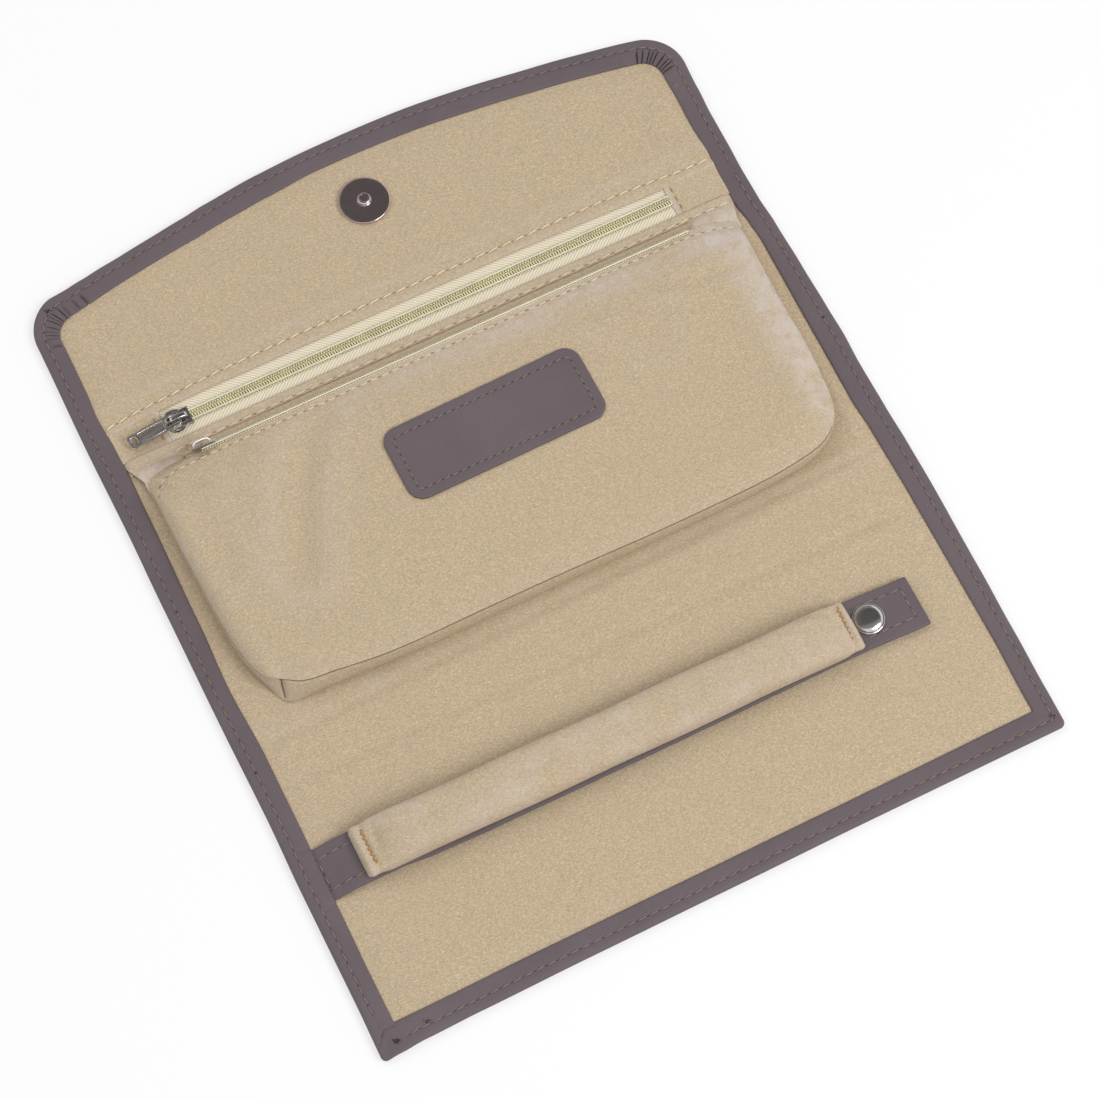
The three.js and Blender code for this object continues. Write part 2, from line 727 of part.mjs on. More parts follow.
// Roll: a flat-bottomed rounded section carried along X. It is highest along the middle of its
// length and drawn in at both sewn ends.
function rollForm(inset, low) {
  const stations = 13;
  const around = 20;
  const length = rollRight - rollLeft - 2 * inset;
  const positions = [];
  const index = [];
  for (let i = 0; i < stations; i += 1) {
    const u = i / (stations - 1);
    const along = length * (1 - Math.cos(Math.PI * u)) / 2;
    const fromEnd = Math.min(along, length - along);
    const swell = rollEndShare + (1 - rollEndShare) * THREE.MathUtils.smoothstep(fromEnd, 0, rollEndLength);
    const halfWide = (rollWidth / 2 - inset) * (1 - (1 - swell) / 4);
    const high = (rollHeight - inset) * swell;
    for (let j = 0; j < around; j += 1) {
      const a = Math.PI * j / (around - 1);
      const c = Math.cos(a);
      const power = 2 / rollSectionPower;
      const across = halfWide * Math.sign(c) * Math.abs(c) ** power;
      const flat = j === 0 || j === around - 1;
      positions.push(rollLeft + inset + along, strapFromLowerEdge + across,
        flat ? low : strapTop + high * Math.sin(a) ** power);
    }
  }
  for (let i = 0; i < stations - 1; i += 1) {
    for (let j = 0; j < around; j += 1) {
      const k = (j + 1) % around;
      const a = i * around + j;
      const b = i * around + k;
      index.push(a, b, a + around, b, b + around, a + around);
    }
  }
  for (let j = 1; j < around - 1; j += 1) {
    const end = (stations - 1) * around;
    index.push(0, j + 1, j, end, end + j, end + j + 1);
  }
  const g = new THREE.BufferGeometry();
  g.setAttribute('position', new THREE.BufferAttribute(new Float32Array(positions), 3));
  g.setIndex(index);
  return g;
}

function rollCover() {
  const slot = box(rollLeft + rollEndLength, rollRight - rollEndLength, strapFromLowerEdge - rollSlot / 2,
    strapFromLowerEdge + rollSlot / 2, strapTop - overrun, strapTop + rollWall * 2);
  const hollow = rollForm(rollWall, strapTop + rollWall);
  return cut(rollForm(0, strapTop), hollow, slot);
}

function rollFilling() {
  return rollForm(rollWall + fitGap, strapTop + rollWall + fitGap);
}

// Snap fastener: domed cap with a shank, socket ring under the strap, stud and post on the lining
function snapCap() {
  const r = snapCapRadius;
  const rim = snapCapHeight / 4;
  const base = strapTop;
  const profile = [[0, strapLevel + fitGap], [snapPostRadius + fitGap, strapLevel + fitGap],
    [snapPostRadius + fitGap, base], [r - rim, base], [r, base + rim]];
  const steps = 7;
  for (let k = 1; k <= steps; k += 1) {
    const a = Math.PI / 2 * k / steps;
    profile.push([k === steps ? 0 : r * Math.cos(a), base + rim + (snapCapHeight - rim) * Math.sin(a)]);
  }
  return turned(profile, snapX, strapFromLowerEdge, 32);
}

function snapSocket() {
  const bore = snapBulbRadius + fitGap;
  const low = strapLevel - snapRingHeight;
  const chamfer = snapRingHeight / 4;
  return turned([
    [bore, low], [snapRingRadius - chamfer, low], [snapRingRadius, low + chamfer],
    [snapRingRadius, strapLevel], [bore, strapLevel], [bore, low],
  ], snapX, strapFromLowerEdge);
}

function snapStud() {
  const bore = snapPostRadius + fitGap;
  const top = strapLevel - fitGap / 2;
  const bulge = snapBulbRadius - bore;
  return turned([
    [bore, liningTop], [snapRingRadius, liningTop], [snapRingRadius, liningTop + snapStudBase / 2],
    [snapBulbRadius, liningTop + snapStudBase], [snapBulbRadius, top - bulge],
    [bore + bulge / 2, top], [bore, top], [bore, liningTop],
  ], snapX, strapFromLowerEdge);
}

function snapPost() {
  const top = liningTop + snapRingHeight;
  return turned([
    [0, boardLevel], [snapFlangeRadius, boardLevel], [snapFlangeRadius, boardLevel + snapFlangeThickness],
    [snapPostRadius, boardLevel + snapFlangeThickness], [snapPostRadius, top], [0, top],
  ], snapX, strapFromLowerEdge);
}

function piece(name, geometry, material) {
  const mesh = new THREE.Mesh(closed(geometry), material);
  mesh.name = name;
  return mesh;
}

// Zip in its own frame: tapes, the two sides of the coil, a slider and a pull tab
function zip(name, sliderX, end, tapeHalfLength, tapeWidths) {
  const g = new THREE.Group();
  const from = sliderX - sliderLength / 2 - fitGap;
  const slot = tapeSlot / 2;
  const half = tapeThickness / 2;
  g.add(piece(`${name}_tape_upper`,
    box(-tapeHalfLength, tapeHalfLength, slot, tapeWidths.upper, -half, half), twill()));
  g.add(piece(`${name}_tape_lower`,
    box(-tapeHalfLength, tapeHalfLength, -tapeWidths.lower, -slot, -half, half), twill()));
  for (const [side, word] of [[1, 'upper'], [-1, 'lower']]) {
    g.add(piece(`${name}_coil_${word}`,
      slab(coilOutline(side, from, end, sliderX), coilBase, coilTop), coilPlastic()));
  }
  const slider = new THREE.Group();
  slider.position.x = sliderX;
  slider.add(piece(`${name}_slider`, sliderBody(), nickel()));
  const pull = piece(`${name}_pull`, pullTab(), nickel());
  pull.position.z = pullAxisLevel;
  slider.add(pull);
  g.add(slider);
  return g;
}

function lowerPanel() {
  const g = new THREE.Group();
  const snap = [snapX, strapFromLowerEdge];
  g.add(piece('cover_lower_panel', lowerPanelCover(), leather()));
  g.add(piece('interlining_lower_panel', lowerPanelLayer(boardLevel, liningLevel, [
    [magnetRadius + fitGap, 0, magnetFemaleY],
    [snapFlangeRadius + fitGap, ...snap],
  ]), board()));
  g.add(piece('lining_lower_panel', lowerPanelLayer(liningLevel, liningTop, [
    [snapPostRadius + fitGap, ...snap],
  ]), velour()));
  g.add(piece('magnet_female_case', magnetFemaleCase(), nickel()));
  g.add(piece('magnet_female_magnet', magnetRing(), steel()));
  g.add(piece('snap_post', snapPost(), steel()));
  g.add(piece('snap_stud', snapStud(), nickel()));
  g.add(piece('ring_strap_root', strapRoot(), leather()));
  return g;
}

function ringStrap() {
  const g = new THREE.Group();
  g.add(piece('ring_strap', strapLeather(), leather()));
  g.add(piece('ring_roll_cover', rollCover(), velour()));
  g.add(piece('ring_roll_filling', rollFilling(), wadding()));
  g.add(piece('snap_cap', snapCap(), nickel()));
  g.add(piece('snap_socket', snapSocket(), nickel()));
  return g;
}

function lowerSpine() {
  const g = new THREE.Group();
  g.add(piece('cover_lower_spine', turnedCover(creaseLowerPanel, creaseLowerSpine), leather()));
  g.add(piece('interlining_lower_spine',
    layer(creaseLowerPanel, creaseLowerSpine, boardLevel, liningLevel), board()));
  g.add(piece('lining_lower_spine',
    layer(creaseLowerPanel, creaseLowerSpine, liningLevel, liningTop), velour()));
  return g;
}

function middle() {
  const g = new THREE.Group();
  g.add(piece('cover_middle', turnedCover(creaseLowerSpine, creaseUpperSpine), leather()));
  g.add(piece('interlining_middle',
    layer(creaseLowerSpine, creaseUpperSpine, boardLevel, liningLevel), board()));
  g.add(piece('lining_middle',
    layer(creaseLowerSpine, creaseUpperSpine, liningLevel, liningTop), velour()));
  return g;
}

function upperSpine() {
  const g = new THREE.Group();
  const low = upperZipY - upperZipOpening / 2;
  const high = upperZipY + upperZipOpening / 2;
  const side = windowHalfWidth - fitGap;
  const top = liningTop + liningThickness;
  g.add(piece('cover_upper_spine', turnedCover(creaseUpperSpine, creaseFlap), leather()));
  g.add(piece('pocket_lining',
    layer(creaseUpperSpine, creaseFlap, boardLevel, boardLevel + pocketLiningThickness), twill()));
  g.add(piece('zip_strip',
    box(-side, side, low - stripWidth, low, liningTop, top), velour()));
  g.add(piece('lining_upper_spine',
    box(-side, side, high, creaseFlap - creaseGap / 2, liningTop, top), velour()));
  const tabs = [low + fitGap, high - fitGap, liningTop, top];
  g.add(piece('upper_zip_tab_left',
    box(-side, upperSliderX - sliderLength / 2 - overrun, ...tabs), velour()));
  g.add(piece('upper_zip_tab_right', box(upperZipEnd + fitGap, side, ...tabs), velour()));
  const fastener = zip('upper_zip', upperSliderX, upperZipEnd, layerHalfWidth,
    { upper: upperZipTapeWidth, lower: upperZipTapeWidth });
  fastener.position.set(0, upperZipY, upperZipLevel);
  g.add(fastener);
  return g;
}

function flap() {
  const g = new THREE.Group();
  g.add(piece('cover_flap', flapCover(), leather()));
  g.add(piece('interlining_flap',
    flapLayer(boardLevel, liningLevel, magnetWasherRadius + fitGap), board()));
  g.add(piece('lining_flap',
    flapLayer(liningLevel, liningTop, magnetShankRadius + fitGap), velour()));
  g.add(piece('magnet_male_plate', magnetMalePlate(), nickel()));
  g.add(piece('magnet_male_washer', magnetMaleWasher(), steel()));
  return g;
}

function pouch() {
  const g = new THREE.Group();
  g.add(piece('pouch_front', pouchFront(), velour()));
  g.add(piece('pouch_back', pouchBackPanel(), velour()));
  g.add(piece('name_patch', namePatch(), leather()));
  const fastener = zip('lower_zip', lowerSliderX, lowerZipEnd, mouthHalfWidth - fitGap,
    { upper: lowerZipTapeWidth, lower: lowerZipTapeWidth });
  const tabLow = coilTop + coilBase + fitGap / 3;
  const tabEnd = pouchHalfWidth - pouchWall;
  const tabs = [-sliderRearHalf, sliderRearHalf, tabLow, tabLow + lowerZipTabThickness];
  fastener.add(piece('lower_zip_tab_right',
    box(mouthHalfWidth - overrun / 2, tabEnd, ...tabs), velour()));
  fastener.add(piece('lower_zip_tab_left', box(-tabEnd, -mouthHalfWidth, ...tabs), velour()));
  fastener.rotation.x = -lowerZipAngle;
  fastener.position.set(0, lowerZipY, lowerZipHeight);
  g.add(fastener);
  return g;
}

const jewelryRoll = new THREE.Group();
const folder = new THREE.Group();
folder.position.y = -openLength / 2;
folder.add(lowerPanel(), ringStrap(), lowerSpine(), middle(), upperSpine(), flap(), pouch());
jewelryRoll.add(folder);

export default jewelryRoll;
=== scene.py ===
"""Jewelry roll, open and flat: a grey leather folder with a velour lining, a flat zip pocket,
a zip pouch with a bare name patch, and a snap strap that carries a padded roll for rings.

Shapes are worked out in millimetres: x across the folder, y from its lower edge, z up.
"""

import math

import bmesh
import bpy
import numpy as np
from mathutils import Matrix, Vector


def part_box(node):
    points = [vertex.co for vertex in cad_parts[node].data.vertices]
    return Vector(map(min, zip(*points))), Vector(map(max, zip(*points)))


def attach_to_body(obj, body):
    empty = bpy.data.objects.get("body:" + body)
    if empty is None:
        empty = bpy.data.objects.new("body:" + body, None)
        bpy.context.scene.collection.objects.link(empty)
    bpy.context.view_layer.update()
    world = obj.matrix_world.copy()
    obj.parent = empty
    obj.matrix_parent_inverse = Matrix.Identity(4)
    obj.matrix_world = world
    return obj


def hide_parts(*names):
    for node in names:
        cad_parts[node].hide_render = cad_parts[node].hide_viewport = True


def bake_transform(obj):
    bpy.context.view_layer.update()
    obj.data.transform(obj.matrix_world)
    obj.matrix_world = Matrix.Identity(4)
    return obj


bl_info = {
    "name": "Jewelry roll",
    "version": (1, 0, 0),
    "blender": (4, 5, 0),
    "location": "View3D > Sidebar > Jewelry roll",
    "description": "Builds an open leather jewelry roll with its pouch, zips and ring strap",
    "category": "Add Mesh",
}

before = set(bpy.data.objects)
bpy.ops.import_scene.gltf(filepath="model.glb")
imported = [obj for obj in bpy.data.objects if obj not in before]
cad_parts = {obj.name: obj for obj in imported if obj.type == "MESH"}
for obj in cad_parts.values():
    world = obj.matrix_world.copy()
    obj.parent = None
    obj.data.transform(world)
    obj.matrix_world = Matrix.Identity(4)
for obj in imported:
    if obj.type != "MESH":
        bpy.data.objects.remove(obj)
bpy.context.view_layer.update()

MM = 0.001
# Points closer than this, in metres, become one
WELD = 2e-6
LOWER_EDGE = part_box("cover_lower_panel")[0][1] / MM
HALF_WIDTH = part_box("cover_middle")[1][0] / MM
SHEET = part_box("cover_middle")[1][2] / MM


def from_edge(metres):
    """Distance from the folder's lower edge, in millimetres, of a place in the frame."""
    return metres / MM - LOWER_EDGE


def crease_between(below, above):
    """Place of the crease between two parts of the cover."""
    return (from_edge(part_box(below)[1][1]) + from_edge(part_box(above)[0][1])) / 2


def centre_of(node_name):
    """Middle of a CAD node's box in folder coordinates."""
    low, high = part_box(node_name)
    middle = (low + high) / 2
    return middle[0] / MM, from_edge(middle[1]), middle[2] / MM


def radius_of(node_name):
    """Radius of a round CAD node, in millimetres."""
    low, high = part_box(node_name)
    return (high[0] - low[0]) / 2 / MM


CREASE_LOWER_PANEL = crease_between("cover_lower_panel", "cover_lower_spine")
CREASE_LOWER_SPINE = crease_between("cover_lower_spine", "cover_middle")
CREASE_UPPER_SPINE = crease_between("cover_middle", "cover_upper_spine")
CREASE_FLAP = crease_between("cover_upper_spine", "cover_flap")
LENGTH = from_edge(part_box("cover_flap")[1][1])
SPLIT_LOWER = (CREASE_LOWER_PANEL + CREASE_LOWER_SPINE) / 2
SPLIT_MIDDLE = (CREASE_LOWER_SPINE + CREASE_UPPER_SPINE) / 2
SPLIT_UPPER = (CREASE_UPPER_SPINE + CREASE_FLAP) / 2
# Distance on each side of a crease; rows lie closer together within one and a half times it
BEND = 5.0

# Radius of the flap's arched edge, and of its corners outside and inside the border
FLAP_ARC, FLAP_CORNER, FLAP_INNER_CORNER = 505.0, 15.0, 8.0
# Width of the border along the lower edge and along the flap's edge
LOWER_BORDER, FLAP_BORDER = 8.2, 9.3
# Height at which the lining lies under the border
LINING_TOP = 2.2

# Finishes of a piece with its threads and the painted shade of the holes between its stitches
SEWN_VELOUR = ("velour", "cream thread", "velour hole and crease shade")
SEWN_LEATHER = ("leather", "taupe thread", "dark knots and leather hole shade")


# ---------------------------------------------------------------- sizes and colours


class RollSizes(bpy.types.PropertyGroup):
    """Sizes that a user would change."""

    border: bpy.props.FloatProperty(
        name="Border", description="Width of the turned leather border", default=8.6e-3,
        unit="LENGTH",
    )
    stitch_pitch: bpy.props.FloatProperty(
        name="Stitch pitch", description="Distance from one border stitch to the next",
        default=4.2e-3, unit="LENGTH",
    )
    lining_pitch: bpy.props.FloatProperty(
        name="Lining stitch pitch",
        description="Distance from one stitch of the lining to the next",
        default=5e-3, unit="LENGTH",
    )
    coil_pitch: bpy.props.FloatProperty(
        name="Coil pitch", description="Distance from one turn of a zip's coil to the next",
        default=0.95e-3, unit="LENGTH",
    )
    pouch_height: bpy.props.FloatProperty(
        name="Pouch height", description="Height of the pouch's front over the table",
        default=14e-3, unit="LENGTH",
    )
    roll_height: bpy.props.FloatProperty(
        name="Roll height", description="Height of the ring roll over the table",
        default=14e-3, unit="LENGTH",
    )


class RollColours(bpy.types.PropertyGroup):
    """Colours that a user would change."""

    leather: bpy.props.StringProperty(
        name="Leather", description="sRGB hex value of the leather", default="665b5f"
    )
    velour: bpy.props.StringProperty(
        name="Velour", description="sRGB hex value of the lining's velour", default="bfac91"
    )
    tape: bpy.props.StringProperty(
        name="Zip tape", description="sRGB hex value of the zips' tape", default="ddd3bb"
    )


def sizes():
    """The sizes that the panel shows."""
    return bpy.context.scene.roll_sizes


def colours():
    """The colours that the panel shows."""
    return bpy.context.scene.roll_colours


# ---------------------------------------------------------------- surfaces


def placed(points):
    """Millimetres from the lower edge to metres in the frame."""
    return (np.asarray(points, float) + (0, LOWER_EDGE, 0)) * MM


def surface(points, closed=False, material=0, flip=False, nap=0.0):
    """Grids of points (..., rows, columns, 3) as vertices and quads: the point in row i and
    column j has index i * columns + j. closed joins the last column to the first; nap tells how
    far the pile stands open, and in places how much painted light makes it paler, from 0 to 1; on a
    tape it tells how high its rib is."""
    points = np.asarray(points, float)
    rows, columns = points.shape[-3:-1]
    i, j = (k.ravel() for k in crossed(
        np.arange(rows - 1), np.arange(columns if closed else columns - 1)))
    after = (j + 1) % columns
    quads = np.stack([i * columns + j, (i + 1) * columns + j, (i + 1) * columns + after,
                      i * columns + after], 1)
    if flip:
        quads = quads[:, ::-1]
    first = np.arange(0, points.size // 3, rows * columns)[:, None, None]
    return {"points": points.reshape(-1, 3), "faces": (quads + first).reshape(-1, 4),
            "material": material, "nap": np.zeros(points.size // 3) + np.ravel(nap)}


def piece(name, surfaces, finishes, outward=False, cloth=None):
    """One object at the origin, out of surfaces in millimetres. cloth gives it a thickness and
    the side on which that lies."""
    offsets = np.cumsum([0] + [len(s["points"]) for s in surfaces])
    points = placed(np.concatenate([s["points"] for s in surfaces]))
    faces = np.concatenate([s["faces"] + o for s, o in zip(surfaces, offsets)])
    index = np.concatenate([np.full(len(s["faces"]), s["material"]) for s in surfaces])
    nap = np.concatenate([s["nap"] for s in surfaces])
    mesh = bpy.data.meshes.new(name)
    mesh.vertices.add(len(points))
    mesh.vertices.foreach_set("co", points.ravel())
    mesh.loops.add(faces.size)
    mesh.loops.foreach_set("vertex_index", faces.ravel())
    mesh.polygons.add(len(faces))
    mesh.polygons.foreach_set("loop_start", np.arange(len(faces)) * 4)
    mesh.polygons.foreach_set("material_index", index)
    mesh.update(calc_edges=True)
    nap_and_light = mesh.attributes.new("nap", "FLOAT", "POINT")
    nap_and_light.data.foreach_set("value", np.clip(nap, 0, 1).astype(np.float32))
    for key in finishes:
        mesh.materials.append(finish_of(key))
    work = bmesh.new()
    work.from_mesh(mesh)
    bmesh.ops.remove_doubles(work, verts=work.verts, dist=WELD)
    bmesh.ops.dissolve_degenerate(work, edges=work.edges, dist=WELD / 10)
    if outward:
        bmesh.ops.recalc_face_normals(work, faces=work.faces)
    work.to_mesh(mesh)
    work.free()
    mesh.polygons.foreach_set("use_smooth", np.ones(len(mesh.polygons), bool))
    obj = bpy.data.objects.new(name, mesh)
    bpy.context.scene.collection.objects.link(obj)
    if cloth:
        wall = obj.modifiers.new("Cloth", "SOLIDIFY")
        wall.thickness, wall.offset = cloth[0] * MM, cloth[1]
    return obj


def attach(obj, bodies, replaced, slot, start=None, end=None):
    """Makes a finished piece ride on its body, unless start is given, when it stays where it is,
    and stand for its CAD nodes, which are hidden. slot and end are not used."""
    if start is None:
        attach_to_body(obj, *bodies)
    else:
        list(bodies)
        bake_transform(obj)
    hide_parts(*replaced)


def unit(vectors):
    """The same vectors with length 1."""
    return vectors / np.linalg.norm(vectors, axis=-1, keepdims=True)


def heading(path):
    """Direction of a path at each of its points."""
    return unit(np.gradient(path, axis=0))


def full_turn(count):
    """Angles at equal steps round a circle."""
    return np.linspace(0, 2 * math.pi, count, endpoint=False)


def smooth_path(points, count):
    """Catmull-Rom curve: between each two points a cubic, tangent to its neighbours' chords."""
    p = np.asarray(points, float)
    p = np.concatenate([2 * p[:1] - p[1:2], p, 2 * p[-1:] - p[-2:-1]])
    u = np.linspace(0, len(p) - 3 - 1e-9, count)
    k = u.astype(int)
    t = (u - k)[:, None]
    a, b, c, d = p[k], p[k + 1], p[k + 2], p[k + 3]
    return 0.5 * (2 * b + (c - a) * t + (2 * a - 5 * b + 4 * c - d) * t**2
                  + (3 * b - a - 3 * c + d) * t**3)


def along(points):
    """Distance along a polyline at each of its points."""
    steps = np.linalg.norm(np.diff(points, axis=0), axis=1)
    return np.concatenate([[0], np.cumsum(steps)])


def between(s, places, values):
    """Rows of values at s, each of their columns interpolated between its places."""
    return np.stack([np.interp(s, places, column) for column in values.T], -1)


def even_path(points, count):
    """The same polyline with points at equal distances along it."""
    p = np.asarray(points, float)
    s = along(p)
    return between(np.linspace(0, s[-1], count), s, p)


def curve_through(points, count):
    """Smooth curve through the points, with its own points evenly spread."""
    return even_path(smooth_path(points, count * 4), count)


def smoothstep(x, low, high):
    """0 up to low and 1 from high on, with a rise between them that starts and ends level."""
    t = np.clip((np.asarray(x, float) - low) / (high - low), 0, 1)
    return t * t * (3 - 2 * t)


def hump(x, centre, width):
    """Bell curve of height 1."""
    return np.exp(-(((np.asarray(x, float) - centre) / width) ** 2))


def quarter(x, radius):
    """Quarter of a circle: it rises steeply from 0 at x = 0 to a level 1 at x = radius."""
    return np.sqrt(np.clip(1 - (1 - np.clip(x / radius, 0, 1)) ** 2, 0, 1))


def wander(table, x):
    """Smooth run through (place, value) pairs: a smoothstep between each two of them."""
    places, values = np.array(table, float).T
    k = np.clip(np.searchsorted(places, x) - 1, 0, len(places) - 2)
    return values[k] + (values[k + 1] - values[k]) * smoothstep(x, places[k], places[k + 1])


def softness(x, y, size, seed):
    """Gentle unevenness from -1 to 1: the mean of eight plane waves of about that size."""
    rng = np.random.default_rng(seed)
    total = 0
    for _ in range(8):
        angle, phase = rng.uniform(0, 2 * math.pi, 2)
        length = size * rng.uniform(0.7, 1.6)
        k = 2 * math.pi / length
        total = total + np.sin(k * (x * math.cos(angle) + y * math.sin(angle)) + phase)
    return total / 4


def nearest_on(x, y, line):
    """Shortest distance from each place to a polyline of (x, y) or (x, y, z), and the line's
    last coordinate there."""
    line = np.asarray(line, float)
    flat = np.stack([x, y], -1).reshape(-1, 1, 2)
    a, d = line[:-1, :2], np.diff(line[:, :2], axis=0)
    t = np.clip(((flat - a) * d).sum(2) / (d**2).sum(1), 0, 1)
    away = np.linalg.norm(flat - a - t[..., None] * d, axis=2)
    row, k = np.arange(len(flat)), away.argmin(1)
    last = line[k, -1] + t[row, k] * (line[k + 1, -1] - line[k, -1])
    return away[row, k].reshape(np.shape(x)), last.reshape(np.shape(x))


def stitches(centres, directions, length, radius=0.2, lift=0.16, material=1, lean=0.0, curl=0.0):
    """Rows of thread: each stitch is a round section carried along an arch that dips into its
    holes; curl bends its two ends to opposite sides, as a twisted thread lies."""
    up = np.array((0.0, 0.0, 1.0))
    d = unit(np.asarray(directions, float))
    d = (d * math.cos(lean) + np.cross(up, d) * math.sin(lean))[:, None]
    side = np.cross(up, d)
    u = np.linspace(-1, 1, 7)[:, None]
    arch = lift * (1 - 1.9 * u**4)
    thick = radius * np.sqrt(np.clip(1 - 0.75 * u**6, 0, 1))
    thick[[0, -1]] = 0
    path = np.asarray(centres, float)[:, None] + d * (u * length / 2) + side * (curl * u**3)
    a = full_turn(6)[:, None]
    ring = side[:, :, None] * np.cos(a) + up * np.sin(a)
    return surface((path + up * arch)[:, :, None] + ring * thick[:, None], True, material, True)


def run_of_stitches(line, height, pitch, length, hole=None, **options):
    """Stitches at equal distances along a polyline (n, 2), with a dark mark of painted shade for
    the hole between each two, where hole gives its material; height is z, or a function that gives
    it at x, y."""
    line = np.asarray(line, float)
    s = along(line)
    count = max(1, round(s[-1] / pitch))
    at_s = (np.arange(count) + 0.5) * s[-1] / count

    def on_line(distance):
        x, y = between(distance, s, line).T
        return np.stack([x, y, height(x, y) if callable(height) else height + 0 * x], 1)

    step = on_line(at_s + 0.4) - on_line(at_s - 0.4)
    rows = [stitches(on_line(at_s), step, length, **options)]
    # Dark marks between the stitches: painted shade in their holes
    if hole is not None:
        holes = on_line(at_s - s[-1] / count / 2) - (0, 0, 0.06)
        rows.append(stitches(holes, step, pitch - length + 0.25, 0.2, 0.06, hole))
    return rows


def arc(cx, cy, r, start, end, count):
    """Points of an arc from one angle to another."""
    a = np.linspace(start, end, count)
    return np.stack([cx + r * np.cos(a), cy + r * np.sin(a)], 1)


def squared(wave, power):
    """A sine or cosine raised to a power below 1 with its sign kept: it squares up a circle."""
    return np.sign(wave) * np.abs(wave) ** power


def crossed(x, y):
    """Every x with every y, as two grids whose rows follow x."""
    return np.meshgrid(x, y, indexing="ij")


def capped(grid):
    """The same grid with each end closed to the middle of its last row."""
    tips = [np.repeat(grid[k].mean(0)[None, None], grid.shape[1], 1) for k in (0, -1)]
    return np.concatenate([tips[0], grid, tips[1]], 0)


def turned(profile, x, y, segments):
    """Profile of (radius, height) turned about the vertical through x, y."""
    p = np.asarray(profile, float)
    a = full_turn(segments)
    return surface(np.stack([
        x + p[:, :1] * np.cos(a), y + p[:, :1] * np.sin(a), np.repeat(p[:, 1:], segments, 1)
    ], 2), closed=True)


def rounded(points, radius, steps):
    """Profile with each inner corner replaced by an arc of that radius."""
    p = np.asarray(points, float)
    out = [p[:1]]
    for a, b, c in zip(p[:-2], p[1:-1], p[2:]):
        lu, lv = np.linalg.norm(a - b), np.linalg.norm(c - b)
        r = min(radius, lu * 0.45, lv * 0.45)
        t = np.linspace(0, 1, steps + 1)[:, None]
        p0, p1 = b + (a - b) / lu * r, b + (c - b) / lv * r
        out.append((1 - t) ** 2 * p0 + 2 * t * (1 - t) * b + t**2 * p1)
    return np.concatenate([*out, p[-1:]])


def tube(path, radius, sides, material=0):
    """A circle carried along a path, square to it."""
    ahead = heading(path)
    across = np.tile((0.0, 1.0, 0.0), (len(path), 1))
    steep = np.abs((ahead * across).sum(1, keepdims=True)) > 0.9
    over = unit(np.cross(ahead, np.where(steep, (1.0, 0.0, 0.0), across)))
    side = np.cross(over, ahead)
    a = full_turn(sides)[:, None]
    ring = side[:, None] * np.cos(a) + over[:, None] * np.sin(a)
    return surface(path[:, None] + ring * radius, True, material)


# ---------------------------------------------------------------- materials


def linear(code, factor=1.0):
    """sRGB hex value to linear red, green, blue and alpha, made lighter or darker by factor."""
    c = np.array([int(code[k:k + 2], 16) for k in (0, 2, 4)]) / 255
    c = np.where(c <= 0.04045, c / 12.92, ((c + 0.055) / 1.055) ** 2.4)
    return (*(c * factor), 1.0)


def shades(code, *stops):
    """Stops of a colour ramp in one colour, from pairs of a place and a factor."""
    return [(place, linear(code, factor)) for place, factor in stops]


def node(tree, kind, inputs=None, stops=(), **settings):
    """Adds a node, sets its properties and the stops of its ramp, the first and the last stop
    before those between them, and links or sets its inputs. Gives its outputs."""
    n = tree.nodes.new("ShaderNode" + kind)
    for key, value in settings.items():
        setattr(n, key, value)
    for k, (place, colour) in enumerate(stops):
        ramp = n.color_ramp.elements
        stop = ramp[k] if k < 2 else ramp.new(place)
        stop.position, stop.color = place, colour
    for key, value in (inputs or {}).items():
        if isinstance(value, bpy.types.NodeSocket):
            tree.links.new(value, n.inputs[key])
        else:
            n.inputs[key].default_value = value
    return n.outputs


def emptied(owner):
    """Node tree of a material or world, with nothing in it."""
    owner.use_nodes = True
    owner.node_tree.nodes.clear()
    return owner.node_tree


def new_material(name):
    """A material, its empty node tree, and Object coordinates in millimetres."""
    m = bpy.data.materials.new(name)
    tree = emptied(m)
    place = node(tree, "TexCoord")["Object"]
    mm = node(tree, "VectorMath", {0: place, "Scale": 1 / MM}, operation="SCALE")[0]
    return m, tree, mm


def leather_material():
    """Pigmented calf leather, embossed: satin film over a fine pebble grain."""
    code = colours().leather
    m, tree, mm = new_material("Pigmented calf leather")
    # Clouds of 22 mm in the tone, and soft hollows of 9 mm
    cloud = node(tree, "TexNoise", {"Vector": mm, "Scale": 1 / 22, "Detail": 3})["Fac"]
    hollow = node(tree, "TexNoise", {"Vector": mm, "Scale": 1 / 9})["Fac"]
    # Pebbles of 0.55 mm, parted by fine valleys, with pores of 0.35 mm
    pebble = node(tree, "TexVoronoi", {"Vector": mm, "Scale": 1 / 0.55, "Smoothness": 0.6},
                  feature="SMOOTH_F1")["Distance"]
    pore = node(tree, "TexNoise", {"Vector": mm, "Scale": 1 / 0.35, "Detail": 4})["Fac"]
    pore = node(tree, "Math", {0: pore, 1: 0.7}, operation="MULTIPLY")[0]
    grain = node(tree, "Math", {0: pebble, 1: -0.8, 2: pore}, operation="MULTIPLY_ADD")[0]
    soft = node(tree, "Bump", {"Height": hollow, "Distance": 0.4 * MM, "Strength": 0.5})[0]
    shader = node(tree, "BsdfPrincipled", {
        "Base Color": node(tree, "ValToRGB", {0: cloud}, shades(code, (0.3, 0.94), (0.7, 1.06)))[0],
        "Roughness": 0.58, "Specular IOR Level": 0.3,
        "Normal": node(tree, "Bump", {"Height": grain, "Distance": 0.2 * MM, "Strength": 0.7,
                                      "Normal": soft})[0]})
    node(tree, "OutputMaterial", {0: shader[0]})
    return m


